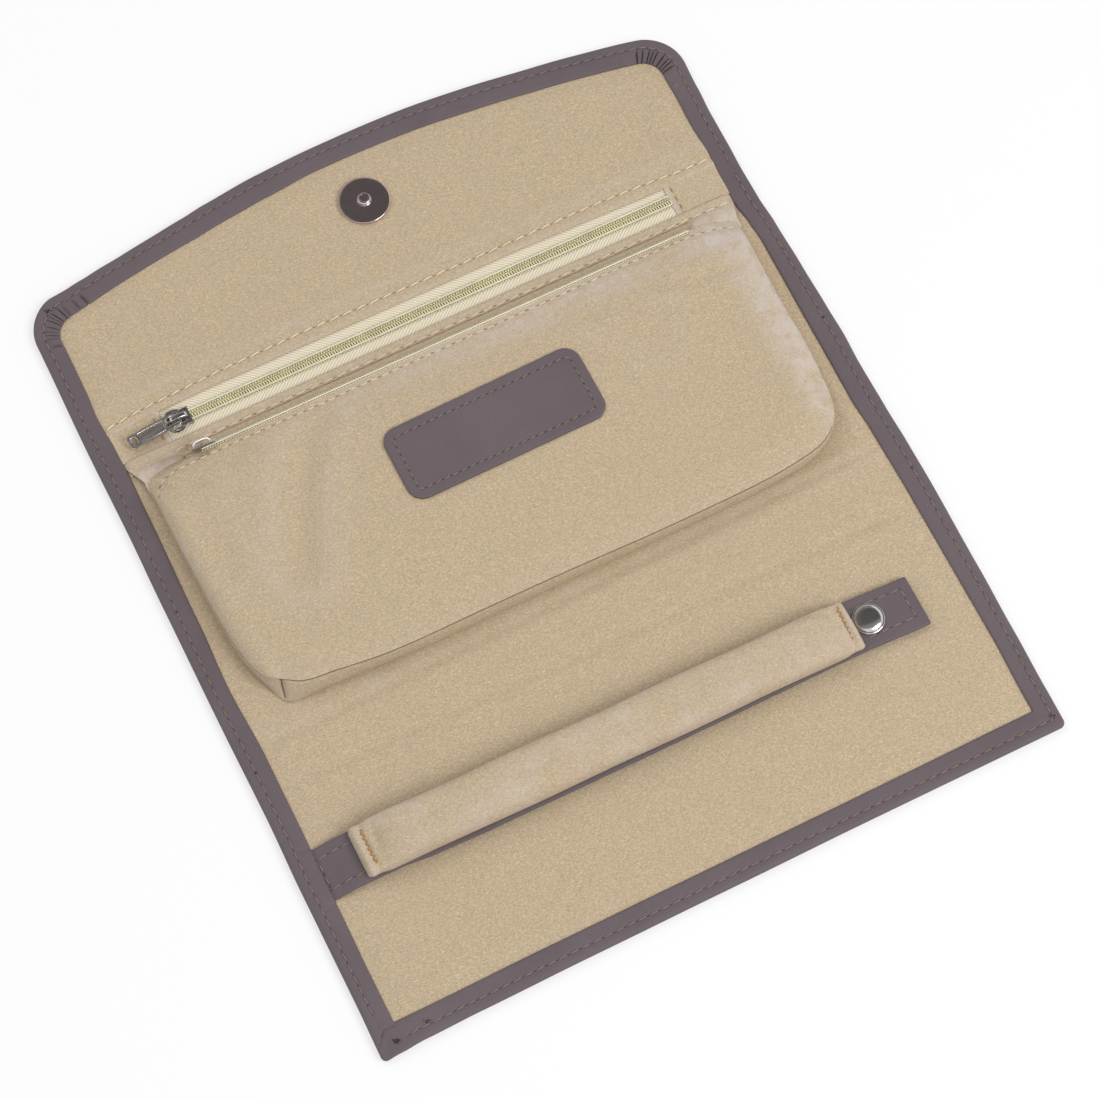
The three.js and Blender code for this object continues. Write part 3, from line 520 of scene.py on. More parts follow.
def velour_material():
    """Knitted microfibre velour: short pile whose nap lies in small worm-like marks."""
    code = colours().velour
    m, tree, mm = new_material("Microfibre velour")
    # Marks about 0.5 mm wide and 1.2 mm long, hairs of 0.4 mm, and clouds of about 30 mm
    lay = node(tree, "Mapping", {"Vector": mm, "Rotation": (0, 0, 0.6),
                                 "Scale": (1.0, 1.9, 1.4)})[0]
    marks = node(tree, "TexNoise", {"Vector": lay, "Scale": 1 / 0.8, "Detail": 2.5,
                                    "Roughness": 0.65, "Distortion": 1.1})["Fac"]
    clouds = node(tree, "TexNoise", {"Vector": mm, "Scale": 1 / 30, "Detail": 3,
                                     "Roughness": 0.55, "Distortion": 0.4})["Fac"]
    hairs = node(tree, "TexNoise", {"Vector": mm, "Scale": 1 / 0.4})["Fac"]
    pile = node(tree, "ValToRGB", {0: marks}, [
        (0.36, linear(code, 0.79)), (0.64, linear("d8c29f")), (0.5, linear(code, 0.98))])[0]
    cloudy = node(tree, "Math", {0: clouds, 1: 0.3}, operation="MULTIPLY")[0]
    pile = node(tree, "Mix", {0: cloudy, 6: pile, 7: linear("b8a68e")}, data_type="RGBA")[2]
    # Where the cloth is bent or rubbed the pile opens and looks paler and greyer; in places the
    # same paleness is painted light
    nap = node(tree, "Attribute", attribute_name="nap")["Fac"]
    blotch = node(tree, "TexNoise", {"Vector": mm, "Scale": 1 / 5, "Detail": 4,
                                     "Roughness": 0.65, "Distortion": 0.8})["Fac"]
    blotch = node(tree, "Math", {0: blotch, 1: 3.2, 2: -1.0}, operation="MULTIPLY_ADD")[0]
    worn_and_lit = node(tree, "Math", {0: nap, 1: blotch}, operation="MULTIPLY", use_clamp=True)[0]
    height = node(tree, "Math", {0: hairs, 1: 0.3, 2: marks}, operation="MULTIPLY_ADD")[0]
    shader = node(tree, "BsdfPrincipled", {
        "Base Color": node(tree, "Mix", {0: worn_and_lit, 6: pile, 7: linear("cdc1b8")},
                           data_type="RGBA")[2],
        "Roughness": 0.95, "Specular IOR Level": 0.1,
        "Sheen Weight": 0.12, "Sheen Roughness": 0.45, "Sheen Tint": linear("efe2cd"),
        "Normal": node(tree, "Bump", {"Height": height, "Distance": 0.42 * MM,
                                      "Strength": 0.6})[0]})
    node(tree, "OutputMaterial", {0: shader[0]})
    return m


def twill_material():
    """Polyester herringbone twill, woven: smooth ribs, with painted shade in their valleys and
    painted light on their crests.
    """
    code = colours().tape
    m, tree, mm = new_material("Polyester herringbone twill")
    # The ribs' height comes with the mesh; threads of 0.3 mm run along them
    rib = node(tree, "Attribute", attribute_name="nap")["Fac"]
    fine = node(tree, "TexNoise", {"Vector": mm, "Scale": 1 / 0.3})["Fac"]
    shader = node(tree, "BsdfPrincipled", {
        # Painted light and shade: darker in the ribs' valleys, paler on their crests
        "Base Color": node(tree, "ValToRGB", {0: rib}, shades(
            code, (0.0, 0.55), (1.0, 1.15), (0.35, 0.86), (0.6, 1.04)))[0],
        "Roughness": 0.7, "Specular IOR Level": 0.3,
        "Normal": node(tree, "Bump", {"Height": fine, "Distance": 0.08 * MM, "Strength": 0.5})[0]})
    node(tree, "OutputMaterial", {0: shader[0]})
    return m


def thread_material(name, code):
    """Bonded polyester thread, twisted: turns of 0.35 mm."""
    m, tree, mm = new_material(name)
    twist = node(tree, "TexNoise", {"Vector": mm, "Scale": 1 / 0.35})["Fac"]
    shader = node(tree, "BsdfPrincipled", {
        "Base Color": node(tree, "ValToRGB", {0: twist}, shades(code, (0.3, 0.8), (0.7, 1.12)))[0],
        "Roughness": 0.6,
        "Normal": node(tree, "Bump", {"Height": twist, "Distance": 0.08 * MM, "Strength": 0.6})[0]})
    node(tree, "OutputMaterial", {0: shader[0]})
    return m


def coil_material(name, code):
    """Nylon monofilament, drawn: smooth and slightly translucent, its tone even over 5 mm."""
    m, tree, mm = new_material(name)
    tone = node(tree, "TexNoise", {"Vector": mm, "Scale": 1 / 5})["Fac"]
    shader = node(tree, "BsdfPrincipled", {
        "Base Color": node(tree, "ValToRGB", {0: tone}, shades(code, (0.3, 0.93), (0.7, 1.07)))[0],
        "Roughness": 0.4, "Subsurface Weight": 0.1, "Subsurface Radius": (0.0006, 0.0005, 0.0003)})
    node(tree, "OutputMaterial", {0: shader[0]})
    return m


def metal_material(name, code, roughness):
    """Plated or rolled metal: a bright skin whose polish and level vary a little over 1.5 mm."""
    m, tree, mm = new_material(name)
    tone = node(tree, "TexNoise", {"Vector": mm, "Scale": 1 / 4})["Fac"]
    polish = node(tree, "TexNoise", {"Vector": mm, "Scale": 1 / 1.6, "Detail": 3})["Fac"]
    level = node(tree, "TexNoise", {"Vector": mm, "Scale": 1 / 1.4, "Detail": 1})["Fac"]
    shader = node(tree, "BsdfPrincipled", {
        "Base Color": node(tree, "ValToRGB", {0: tone}, shades(code, (0.3, 0.94), (0.7, 1.05)))[0],
        "Roughness": node(tree, "Math", {0: polish, 1: 0.03, 2: roughness},
                          operation="MULTIPLY_ADD")[0],
        "Metallic": 1.0,
        "Normal": node(tree, "Bump", {"Height": level, "Distance": 0.012 * MM,
                                      "Strength": 0.15})[0]})
    node(tree, "OutputMaterial", {0: shader[0]})
    return m


def cloth_material(name, code, thread):
    """Plain cloth or fibre: crossed threads of that size in millimetres."""
    m, tree, mm = new_material(name)
    warp, weft = (node(tree, "TexWave", {"Vector": mm, "Scale": 1 / (thread * 3),
                                         "Distortion": 1.0}, bands_direction=axis)["Fac"]
                  for axis in ("X", "Y"))
    both = node(tree, "Math", {0: warp, 1: weft}, operation="MULTIPLY")[0]
    shader = node(tree, "BsdfPrincipled", {
        "Base Color": node(tree, "ValToRGB", {0: both}, shades(code, (0.0, 0.85), (1.0, 1.08)))[0],
        "Roughness": 0.9, "Specular IOR Level": 0.2,
        "Normal": node(tree, "Bump", {"Height": both, "Distance": thread / 3 * MM,
                                      "Strength": 0.5})[0]})
    node(tree, "OutputMaterial", {0: shader[0]})
    return m


# Each finish: how its material is made, and what that is given
FINISHES = {
    "leather": (leather_material,),
    "velour": (velour_material,),
    "twill": (twill_material,),
    "taupe thread": (thread_material, "Bonded thread, taupe", "8b7869"),
    "tan thread": (thread_material, "Bonded thread, golden brown", "a9824f"),
    "cream thread": (thread_material, "Bonded thread, cream", "e6d8bd"),
    # Painted shade of stitch holes in leather, also the dark knots
    "dark knots and leather hole shade": (thread_material, "Punched leather edge", "3c3234"),
    # Painted shade of stitch holes and seam creases in the velour
    "velour hole and crease shade": (thread_material, "Pressed velour", "8d7555"),
    "coil": (coil_material, "Nylon monofilament, olive", "e2dab0"),
    "pale coil": (coil_material, "Nylon monofilament, ivory", "d9d0b4"),
    "cord": (coil_material, "Polyester zip cord", "e2dcc2"),
    "nickel": (metal_material, "Nickel plating, polished", "c9c7c5", 0.14),
    # A paler, rougher copy of the plating: painted light on the lower slider
    "nickel lit copy": (metal_material, "Nickel plating, tumbled satin", "e9e7e4", 0.46),
    # Another copy of the plating for the pull tabs' broad faces: their painted reflection
    "nickel broad face reflection": (metal_material, "Nickel plating, rubbed dull", "dcd6d3", 0.26),
    "black nickel": (metal_material, "Black nickel plating", "cbbdbe", 0.12),
    "steel": (metal_material, "Rolled steel", "8a8886", 0.42),
    "board": (cloth_material, "Bonded fibre board", "8f8678", 0.5),
    "pocket": (cloth_material, "Cotton pocketing", "d8cdb4", 0.4),
}
LIBRARY = {}


def finish_of(key):
    """The material of that finish, made once."""
    if key not in LIBRARY:
        maker, *given = FINISHES[key]
        LIBRARY[key] = maker(*given)
    return LIBRARY[key]


def finish_nodes(key, *names):
    """Gives kept CAD nodes their material."""
    for name in names:
        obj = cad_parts[name]
        if not obj.data.materials:
            obj.data.materials.append(finish_of(key))
        for slot in obj.material_slots:
            slot.link = "OBJECT"
            slot.material = finish_of(key)


# ---------------------------------------------------------------- folder outline

# How far each sewn line runs off its plain outline, in millimetres: outwards along the two sides
# (for the inner line, towards a wider border), and upwards along the lower and the top edge.
OUTER_RUN = {
    "sign": 1,
    "left": [(0, 0.8), (20, 0.45), (60, 0.4), (88, -0.1), (125, 0.1), (170, -0.1), (200, -0.45),
             (230, -0.3), (278, -0.9), (305, -0.9)],
    "right": [(0, -0.6), (14, -0.4), (38, 0.1), (62, 0.6), (98, 1.1), (112, 1.0), (128, 0.6),
              (146, 0.4), (158, 0.8), (170, 0.5), (188, 0.1), (206, -0.4), (218, -1.1),
              (230, -1.2), (242, -0.9), (254, -0.8), (266, -0.2), (278, 0.4), (305, 0.4)],
    "low": [(-125, -2.4), (-118, -1.9), (-110, -1.35), (-90, -0.95), (-50, -0.55), (0, -0.3),
            (50, 0), (125, 0)],
    "top": [(-125, 0), (-116, 0.2), (-106, -0.7), (-97, -1.2), (-84, -1.65), (-72, -1.7),
            (-60, -1.5), (-50, -1.0), (-30, -0.3), (-10, 0), (30, 0.4), (50, 0.2), (70, -0.1),
            (90, 0.2), (110, 0.5), (125, 0.3)],
}
INNER_RUN = {
    "sign": -1,
    "left": [(0, -0.9), (26, -0.9), (50, -0.6), (86, -0.1), (108, 0), (134, -1.0), (160, -0.2),
             (203, 0.5), (218, 0.8), (230, 0.6), (242, -0.4), (254, 0.2), (266, 0.4), (305, 0.4)],
    "right": [(0, -0.2), (14, -0.3), (38, -1.0), (98, -1.0), (122, -0.6), (134, 0.1),
              (160, -0.2), (203, -0.6), (210, 0), (218, 1.1), (230, 0.9), (242, 0.4), (254, 0.6),
              (266, 0.2), (305, 0.2)],
    "low": [(-125, -0.7), (-110, -0.6), (-60, 0), (-10, 0.15), (30, 0.35), (70, 0.55),
            (110, 0.95), (125, 1.0)],
    "top": [(-125, 0), (-112, -0.8), (-95, -1.1), (-74, -1.3), (-60, -1.5), (-45, -1.0),
            (-30, -0.5), (-10, 0.4), (30, 0.4), (50, 0), (70, -0.1), (90, 0.2), (110, 0.6),
            (125, 0.3)],
}


def run_off(path, run):
    """The path moved off its plain outline by those tables."""
    x, y = np.asarray(path, float).T
    off = np.where(x < 0, wander(run["left"], y), wander(run["right"], y))
    dx = np.sign(x) * smoothstep(np.abs(x), 90, 113) * off * run["sign"]
    dy = (wander(run["low"], x) * (1 - smoothstep(y, 0, 26))
          + wander(run["top"], x) * smoothstep(y, 255, 282))
    return np.stack([x + dx, y + dy], 1)


def rows_of(low, high, crease, step=0.85):
    """Places along y from low to high: even steps, closer together round a crease."""
    inside = np.sort(np.concatenate([
        np.arange(low, high, step), np.arange(crease - BEND * 1.5, crease + BEND * 1.5, 0.4)]))
    inside = inside[(inside > low + 0.15) & (inside < high - 0.15)]
    inside = inside[np.concatenate([[True], np.diff(inside) > 0.15])]
    return np.concatenate([[low], inside, [high]])


def both_runs(path_of, inset, end_inset, corner, inner_corner):
    """Outer and inner line of a border, with equal counts of points. The insets are its width at
    the sides and at the end, and each line has its own corner radius."""
    return (run_off(path_of(0, 0, corner), OUTER_RUN),
            run_off(path_of(inset, end_inset, inner_corner), INNER_RUN))


def lower_path(inset, low_inset, corner):
    """Left side downwards, lower edge, right side upwards, with small round corners."""
    y = rows_of(0, SPLIT_LOWER, CREASE_LOWER_PANEL)[::-1]
    side = HALF_WIDTH - inset
    y = y + (low_inset + corner) * np.clip(1 - y / 24, 0, 1)
    left = np.stack([np.full_like(y, -side), y], 1)
    a = arc(-side + corner, low_inset + corner, corner, math.pi, 1.5 * math.pi, 9)[1:]
    x = np.linspace(-side + corner, side - corner, 300)[1:-1]
    edge = np.stack([x, np.full_like(x, low_inset)], 1)
    b = a[::-1] * (-1, 1)
    return np.concatenate([left, a, edge, b, left[::-1] * (-1, 1)])


def flap_path(inset, top_inset, corner):
    """Left side upwards, round corner, arched edge, round corner, right side downwards."""
    side = HALF_WIDTH - inset
    radius = FLAP_ARC - top_inset
    cy = LENGTH - FLAP_ARC
    kx = side - corner
    ky = cy + math.sqrt((radius - corner) ** 2 - kx**2)
    turn = math.atan2(ky - cy, kx)
    y = rows_of(SPLIT_UPPER, 275, CREASE_FLAP)
    y = SPLIT_UPPER + (y - SPLIT_UPPER) * (ky - SPLIT_UPPER) / (275 - SPLIT_UPPER)
    left = np.stack([np.full_like(y, -side), y], 1)
    a = arc(-kx, ky, corner, math.pi, math.pi - turn, 100)[1:]
    top = arc(0, cy, radius, math.pi - turn, turn, 330)[1:-1]
    return np.concatenate([left, a, top, a[::-1] * (-1, 1), left[::-1] * (-1, 1)])


# Share of the border's width at which its stitches run, and y where the relief of the strap's
# root rises and falls again
STITCH_SHARE = 0.4
ROOT_LOW, ROOT_HIGH = (51.2, 53.2), (70.6, 72.4)


class Border:
    """The turned border between its outer and its inner line: where it lies and how high it is at
    a distance s along it and a share t across it."""

    def __init__(self, outer, inner, pleats=(), folds=()):
        self.outer, self.inner, self.pleats, self.folds = outer, inner, pleats, folds
        self.s = along(outer)

    def nearest(self, x, y):
        """Distance along the border of its point nearest to x, y."""
        return self.s[np.argmin(np.hypot(self.outer[:, 0] - x, self.outer[:, 1] - y))]

    def place(self, s, t):
        """x and y there: the outer line's point led towards the inner one's by the share."""
        out, ins = (between(s, self.s, line) for line in (self.outer, self.inner))
        return out + (ins - out) * np.asarray(t)[..., None]

    def height(self, s, t):
        """A flat crown that dips along the row of stitches and, at each hole, a little more; over
        the strap's root it rises, at the lower left corner it droops, and pleats, each a slope
        with one steep side, and folds cut into it."""
        s = np.asarray(s, float)
        t = np.broadcast_to(t, s.shape)
        x, y = np.moveaxis(self.place(s, t), -1, 0)
        pitch = sizes().stitch_pitch / MM
        z = SHEET + 0.1 * np.sin(math.pi * np.clip(t, 0, 1))
        z = z - hump(t, STITCH_SHARE, 0.09) * (0.2 + 0.1 * np.cos(2 * math.pi * s / pitch))
        z = z - 0.22 * smoothstep(t, 0.92, 1.02)
        for start, end, count in self.pleats:
            u = (s - start) / (end - start) * count
            u = u + 0.22 * np.sin(u * 1.7 + 0.6)
            phase = u - np.floor(u)
            inside = smoothstep(u, -0.3, 0.3) * (1 - smoothstep(u, count - 0.3, count + 0.3))
            deep = 0.85 + 0.4 * np.sin(np.floor(u) * 2.4)
            fold = 0.55 * phase - 1.15 * (1 - smoothstep(phase, 0, 0.24))
            z = z + inside * deep * fold * smoothstep(t, STITCH_SHARE - 0.05, STITCH_SHARE + 0.3)
        root = (x < -100) * smoothstep(y, *ROOT_LOW) * (1 - smoothstep(y, *ROOT_HIGH))
        z = z + 0.42 * root * smoothstep(t, 0.15, 0.45)
        z = z - 0.6 * hump(np.hypot(x + 125, y + 2), 0, 7)
        for line, width, depth in self.folds:
            z = z - depth * hump(nearest_on(x, y, line)[0], 0, width)
        return z


def cover(border, middle):
    """Leather turned over its edge. Across: under the sheet from the middle line out to the
    edge, half an ellipse round it, in over the border, down its lip, back under it and in along
    the upper side of the sheet. Along: the outline."""
    s = border.s
    width = np.linalg.norm(border.outer - border.inner, axis=1)
    # Height of the edge's middle, depth of its rounding, and height of the sheet's upper side
    half, depth, upper = SHEET / 2, 1.35, 0.9
    rows = []

    def row(t, z):
        """Adds a line at that share across the border."""
        rows.append(np.column_stack([border.place(s, np.broadcast_to(t, s.shape)),
                                     np.broadcast_to(z, s.shape)]))

    def inside(z):
        """Adds a line over the sheet's middle."""
        rows.append(np.column_stack([middle, np.full(len(s), z)]))

    inside(0.0)
    row(1.3, 0.0)
    # Round the edge, up to the height of the border's crown
    lift = border.height(s, 0.12) - SHEET
    for a in np.linspace(0, math.pi, 11):
        row(depth * (1 - math.sin(a) ** 0.8) / width,
            half * (1 - math.cos(a)) + lift * smoothstep(a, 1.6, math.pi))
    for t in np.linspace(0.2, 1.0, 19):
        row(t, border.height(s, t))
    # Down the lip and back under the border to the sheet's upper side
    row(1.02, border.height(s, 1.02) - 0.28)
    row(1.015, LINING_TOP + 0.1)
    row(0.98, LINING_TOP)
    row(1.6 / width, LINING_TOP)
    row(1.3 / width, half)
    row(1.6 / width, upper)
    inside(upper)
    grid = np.stack(rows, 1)
    caps = []
    for k in (0, -1):
        loop = grid[k]
        count = (len(loop) + 1) // 2
        caps.append(surface(np.stack([loop[:count], loop[::-1][:count]], 0), flip=k == -1))
    # The hole's wall, where the middle line goes round one
    walls = []
    for side in (-1, 1):
        on = np.flatnonzero(middle[:, 0] * side > 1e-6)
        if len(on):
            walls.append(surface(grid[on[0] - 1:on[-1] + 2, [-1, 0]], flip=True))
    return [surface(grid, flip=True), *caps, *walls]


def round_hole(outer, inner, name):
    """Both lines with points added beside that piece, and the middle line led round it."""
    cy, radius = centre_of(name)[1], radius_of(name) + 0.15
    number = np.arange(len(outer), dtype=float)
    wanted = [number]
    for side in (-1, 1):
        on = np.flatnonzero((outer[:, 0] * side > 100) & (outer[:, 1] > 20))
        on = on[np.argsort(outer[on, 1])]
        rows = cy + radius * np.cos(np.linspace(0, math.pi, 33))
        wanted.append(np.interp(rows, outer[on, 1], number[on]))
    wanted = np.unique(np.concatenate(wanted))
    outer, inner = (between(wanted, number, line) for line in (outer, inner))
    middle = middle_line(outer, cy - radius, SPLIT_LOWER)
    half = np.sqrt(np.clip(radius**2 - (middle[:, 1] - cy) ** 2, 0, None))
    middle[:, 0] = np.copysign(half, outer[:, 0])
    return outer, inner, middle


def middle_line(path, low, high):
    """Where the sheet's two halves meet: straight across from each point of the outline."""
    return np.clip(path, (0, low), (0, high))


# ---------------------------------------------------------------- leather folder


def border_stitches(border):
    """Taupe thread along the border, with a dark mark of painted shade for the hole at both ends of
    each stitch. The lap of the lower left corner is left out."""
    pitch = sizes().stitch_pitch / MM
    s = np.arange(pitch / 2, border.s[-1] - pitch / 4, pitch)
    x, y = border.place(s, np.full_like(s, STITCH_SHARE)).T
    s = s[np.hypot(x + 124, y - 4) > 8.5]

    def on_border(distance):
        return np.column_stack([border.place(distance, np.full_like(distance, STITCH_SHARE)),
                                border.height(distance, STITCH_SHARE)])

    step = (on_border(s + 0.4) - on_border(s - 0.4)) * (1, 1, 0)
    thread = stitches(on_border(s), step, pitch * 0.74, lean=0.06, curl=0.1)
    # Dark marks at both ends of each stitch: painted shade in their holes
    return [thread, *(stitches(on_border(s + end * pitch * 0.43), step, 0.42, 0.17, 0.03, 2, 0.5)
                      for end in (-1, 1))]


def knot(x, y, z, size):
    """A tangle of five short ends of thread, each turned and moved a little from the last."""
    return [stitches([(x + dx, y + dy, z)], [(1.0, 0.4 - 2 * dx, 0.0)], size * share, 0.26, 0.22, 2)
            for dx, dy, share in ((-0.3, 0, 1), (0.35, 0.2, 0.6), (0.1, -0.6, 0.45),
                                  (-0.9, 0.65, 0.4), (0.9, -0.2, 0.4))]


def cover_piece(name, parts, bodies, crease, replaced, extra=()):
    """One part of the cover with its stitches, standing for its CAD nodes."""
    surfaces = [s for border, middle in parts
                for s in (*cover(border, middle), *border_stitches(border))]
    obj = piece(name, [*surfaces, *extra], ["leather", "taupe thread", "dark knots and leather hole shade",
                                            "tan thread"], outward=True)
    obj.data.set_sharp_from_angle(angle=0.9)
    attach(obj, bodies, replaced, "leather", (0, crease - BEND, 0), (0, crease + BEND, 0))


class JEWELRY_OT_folder(bpy.types.Operator):
    """Leather folder in four parts that meet at the creases, with its turned and sewn border"""

    bl_idname = "jewelry.folder"
    bl_label = "Leather folder"

    def execute(self, context):
        width = sizes().border / MM
        outer, inner = both_runs(lower_path, width, LOWER_BORDER, corner=2.0, inner_corner=0.6)
        # The lap of the lower left corner, the edges of the strap's root and the lower right
        # corner: each a line, its width and its depth
        folds = [([(-117, 7), (-121.8, 6.8), (-124.4, 3.5)], 0.3, 0.45),
                 ([(-115, 72.2), (-122.5, 72.2)], 0.3, 0.3),
                 ([(-115, 51.6), (-122.5, 51.6)], 0.3, 0.3),
                 ([(123.6, 1.6), (117, 8.4)], 0.3, 0.1)]
        outer, inner, middle = round_hole(outer, inner, "magnet_female_case")
        border = Border(outer, inner, folds=folds)
        knots = [k for x, y, size in ((-119, 2.0, 1.7), (-107.5, 3.3, 1.4), (121.4, 4.5, 1.1))
                 for k in knot(x, y, SHEET - 0.1, size)]
        cover_piece("folder_lower_panel", [(border, middle)], ("lower_panel", "lower_spine"),
                    CREASE_LOWER_PANEL, ["cover_lower_panel"], knots)
        for name, low, high, bodies, crease, replaced in (
            ("folder_lower_spine", SPLIT_LOWER, SPLIT_MIDDLE, ("lower_spine", "middle"),
             CREASE_LOWER_SPINE, ["cover_lower_spine", "cover_middle"]),
            ("folder_upper_spine", SPLIT_MIDDLE, SPLIT_UPPER, ("middle", "upper_spine"),
             CREASE_UPPER_SPINE, ["cover_upper_spine"]),
        ):
            y = rows_of(low, high, crease)
            parts = []
            for side in (-1, 1):
                outer, inner = (
                    run_off(np.stack([np.full_like(y, side * (HALF_WIDTH - inset)), y], 1), run)
                    for inset, run in ((0, OUTER_RUN), (width, INNER_RUN)))
                parts.append((Border(outer, inner), middle_line(outer, low, high)))
            cover_piece(name, parts, bodies, crease, replaced)
        outer, inner = both_runs(flap_path, width, FLAP_BORDER, FLAP_CORNER, FLAP_INNER_CORNER)
        border = Border(outer, inner)
        left, right = border.nearest(-120, 287), border.nearest(120, 287)
        border.pleats = [(left - 15, left + 19, 14), (right - 18, right + 19, 15)]
        cover_piece("folder_flap", [(border, middle_line(outer, SPLIT_UPPER, 262))],
                    ("upper_spine", "flap"), CREASE_FLAP, ["cover_flap"],
                    knot(-115.5, 287, SHEET, 1.7))
        finish_nodes("board", "interlining_lower_panel", "interlining_lower_spine",
                     "interlining_middle", "interlining_flap")
        return {"FINISHED"}


# ---------------------------------------------------------------- lining


# Lower edge of the pouch along y, and height of the cloth that is pressed flat under it
POUCH_LOW, PRESSED = 118.5, 2.26
# Folded edge of the flap's lining, and the two rows of stitches along the upper zip
HEM = [(-121, 233.6), (-116.5, 233.75), (-110, 235), (-99.5, 235.75), (-80, 236.2), (38, 236.2),
       (60, 235.7), (94.5, 235), (121, 235)]
HEM_STITCHES = [(-116.5, 237.2), (-107, 238.6), (-97, 239.25), (-87, 239.75), (-72, 240.4),
                (-52, 240.75), (-39, 241), (8, 240.3), (38, 240.1), (68, 240.25), (83, 239.75),
                (93, 239.25), (103, 238.6), (115, 238.4)]
BAND_STITCHES = [(-116, 218.5), (-110, 219), (-105, 219.5), (-83, 220), (-44, 220.3),
                 (38, 220.25), (94.5, 220.25), (116, 220)]


def flap_edge(x, inset):
    """Place along y of a line that keeps that distance from the flap's arched edge."""
    return LENGTH - inset - (FLAP_ARC - np.sqrt(FLAP_ARC**2 - np.asarray(x, float) ** 2))


def lining_height(x, y):
    """Height of the lining: raised a little inside the border, pressed flat under the pouch and
    under the zip's band, with soft waves and a crease on each side of the lower spine."""
    edge = np.minimum(HALF_WIDTH - sizes().border / MM - np.abs(x), y - LOWER_BORDER)
    edge = np.minimum(edge, flap_edge(x, FLAP_BORDER) - y)
    z = 2.24 + 0.55 * smoothstep(edge, 0, 6)
    z = z + 0.16 * softness(x, y, 38, 3) * smoothstep(edge, 0, 10)
    under = smoothstep(y, POUCH_LOW - 1, POUCH_LOW + 4) * (1 - smoothstep(y, 223, 226))
    under = under * (1 - smoothstep(np.abs(x), 108, 113) * (1 - smoothstep(y, 212, 216)))
    z = z * (1 - under) + PRESSED * under
    # Flat round the snap's stud, under the strap's end
    cx, cy = centre_of("snap_stud")[:2]
    past = np.hypot(x - cx, y - cy) - radius_of("snap_stud")
    z = z + (LINING_TOP - 0.02 - z) * (1 - smoothstep(past, 0.8, 4.5))
    # A crease and a soft ridge beside it at each side of the lower spine
    inside = smoothstep(edge, 1, 8)
    z = z - 0.42 * hump(y, CREASE_LOWER_SPINE - 1.5 + 0.02 * x, 2.0) * inside
    z = z + 0.3 * hump(y, CREASE_LOWER_SPINE - 5.5 + 0.02 * x, 2.6) * inside
    z = z - 0.4 * hump(y, CREASE_LOWER_PANEL + 1.5 - 0.015 * x, 2.2) * inside
    z = z + 0.35 * hump(y, CREASE_LOWER_PANEL - 3 - 0.02 * x, 3) * smoothstep(edge, 2, 12)
    return z


def hem_height(x, y):
    """The flap's lining: level with the border along the zip, with a valley under its stitches."""
    row = wander(HEM_STITCHES, x)
    over = (1 - smoothstep(y, row + 2, row + 13)) * smoothstep(117.4 - np.abs(x), 0, 2.2)
    z = lining_height(x, y) * (1 - over) + 3.08 * over
    return z - 0.3 * hump(y, row, 0.9) + 0.06 * np.sin(x * 1.25) * hump(y, row - 1.6, 1.4)


def lining_piece(name, surfaces, bodies, crease, replaced):
    """A part of the lining, standing for its CAD nodes."""
    obj = piece(name, surfaces, SEWN_VELOUR)
    attach(obj, bodies, replaced, "velour", (0, crease - BEND, 0), (0, crease + BEND, 0))
    wide = np.ptp(surfaces[0]["points"][:, 0]) * MM


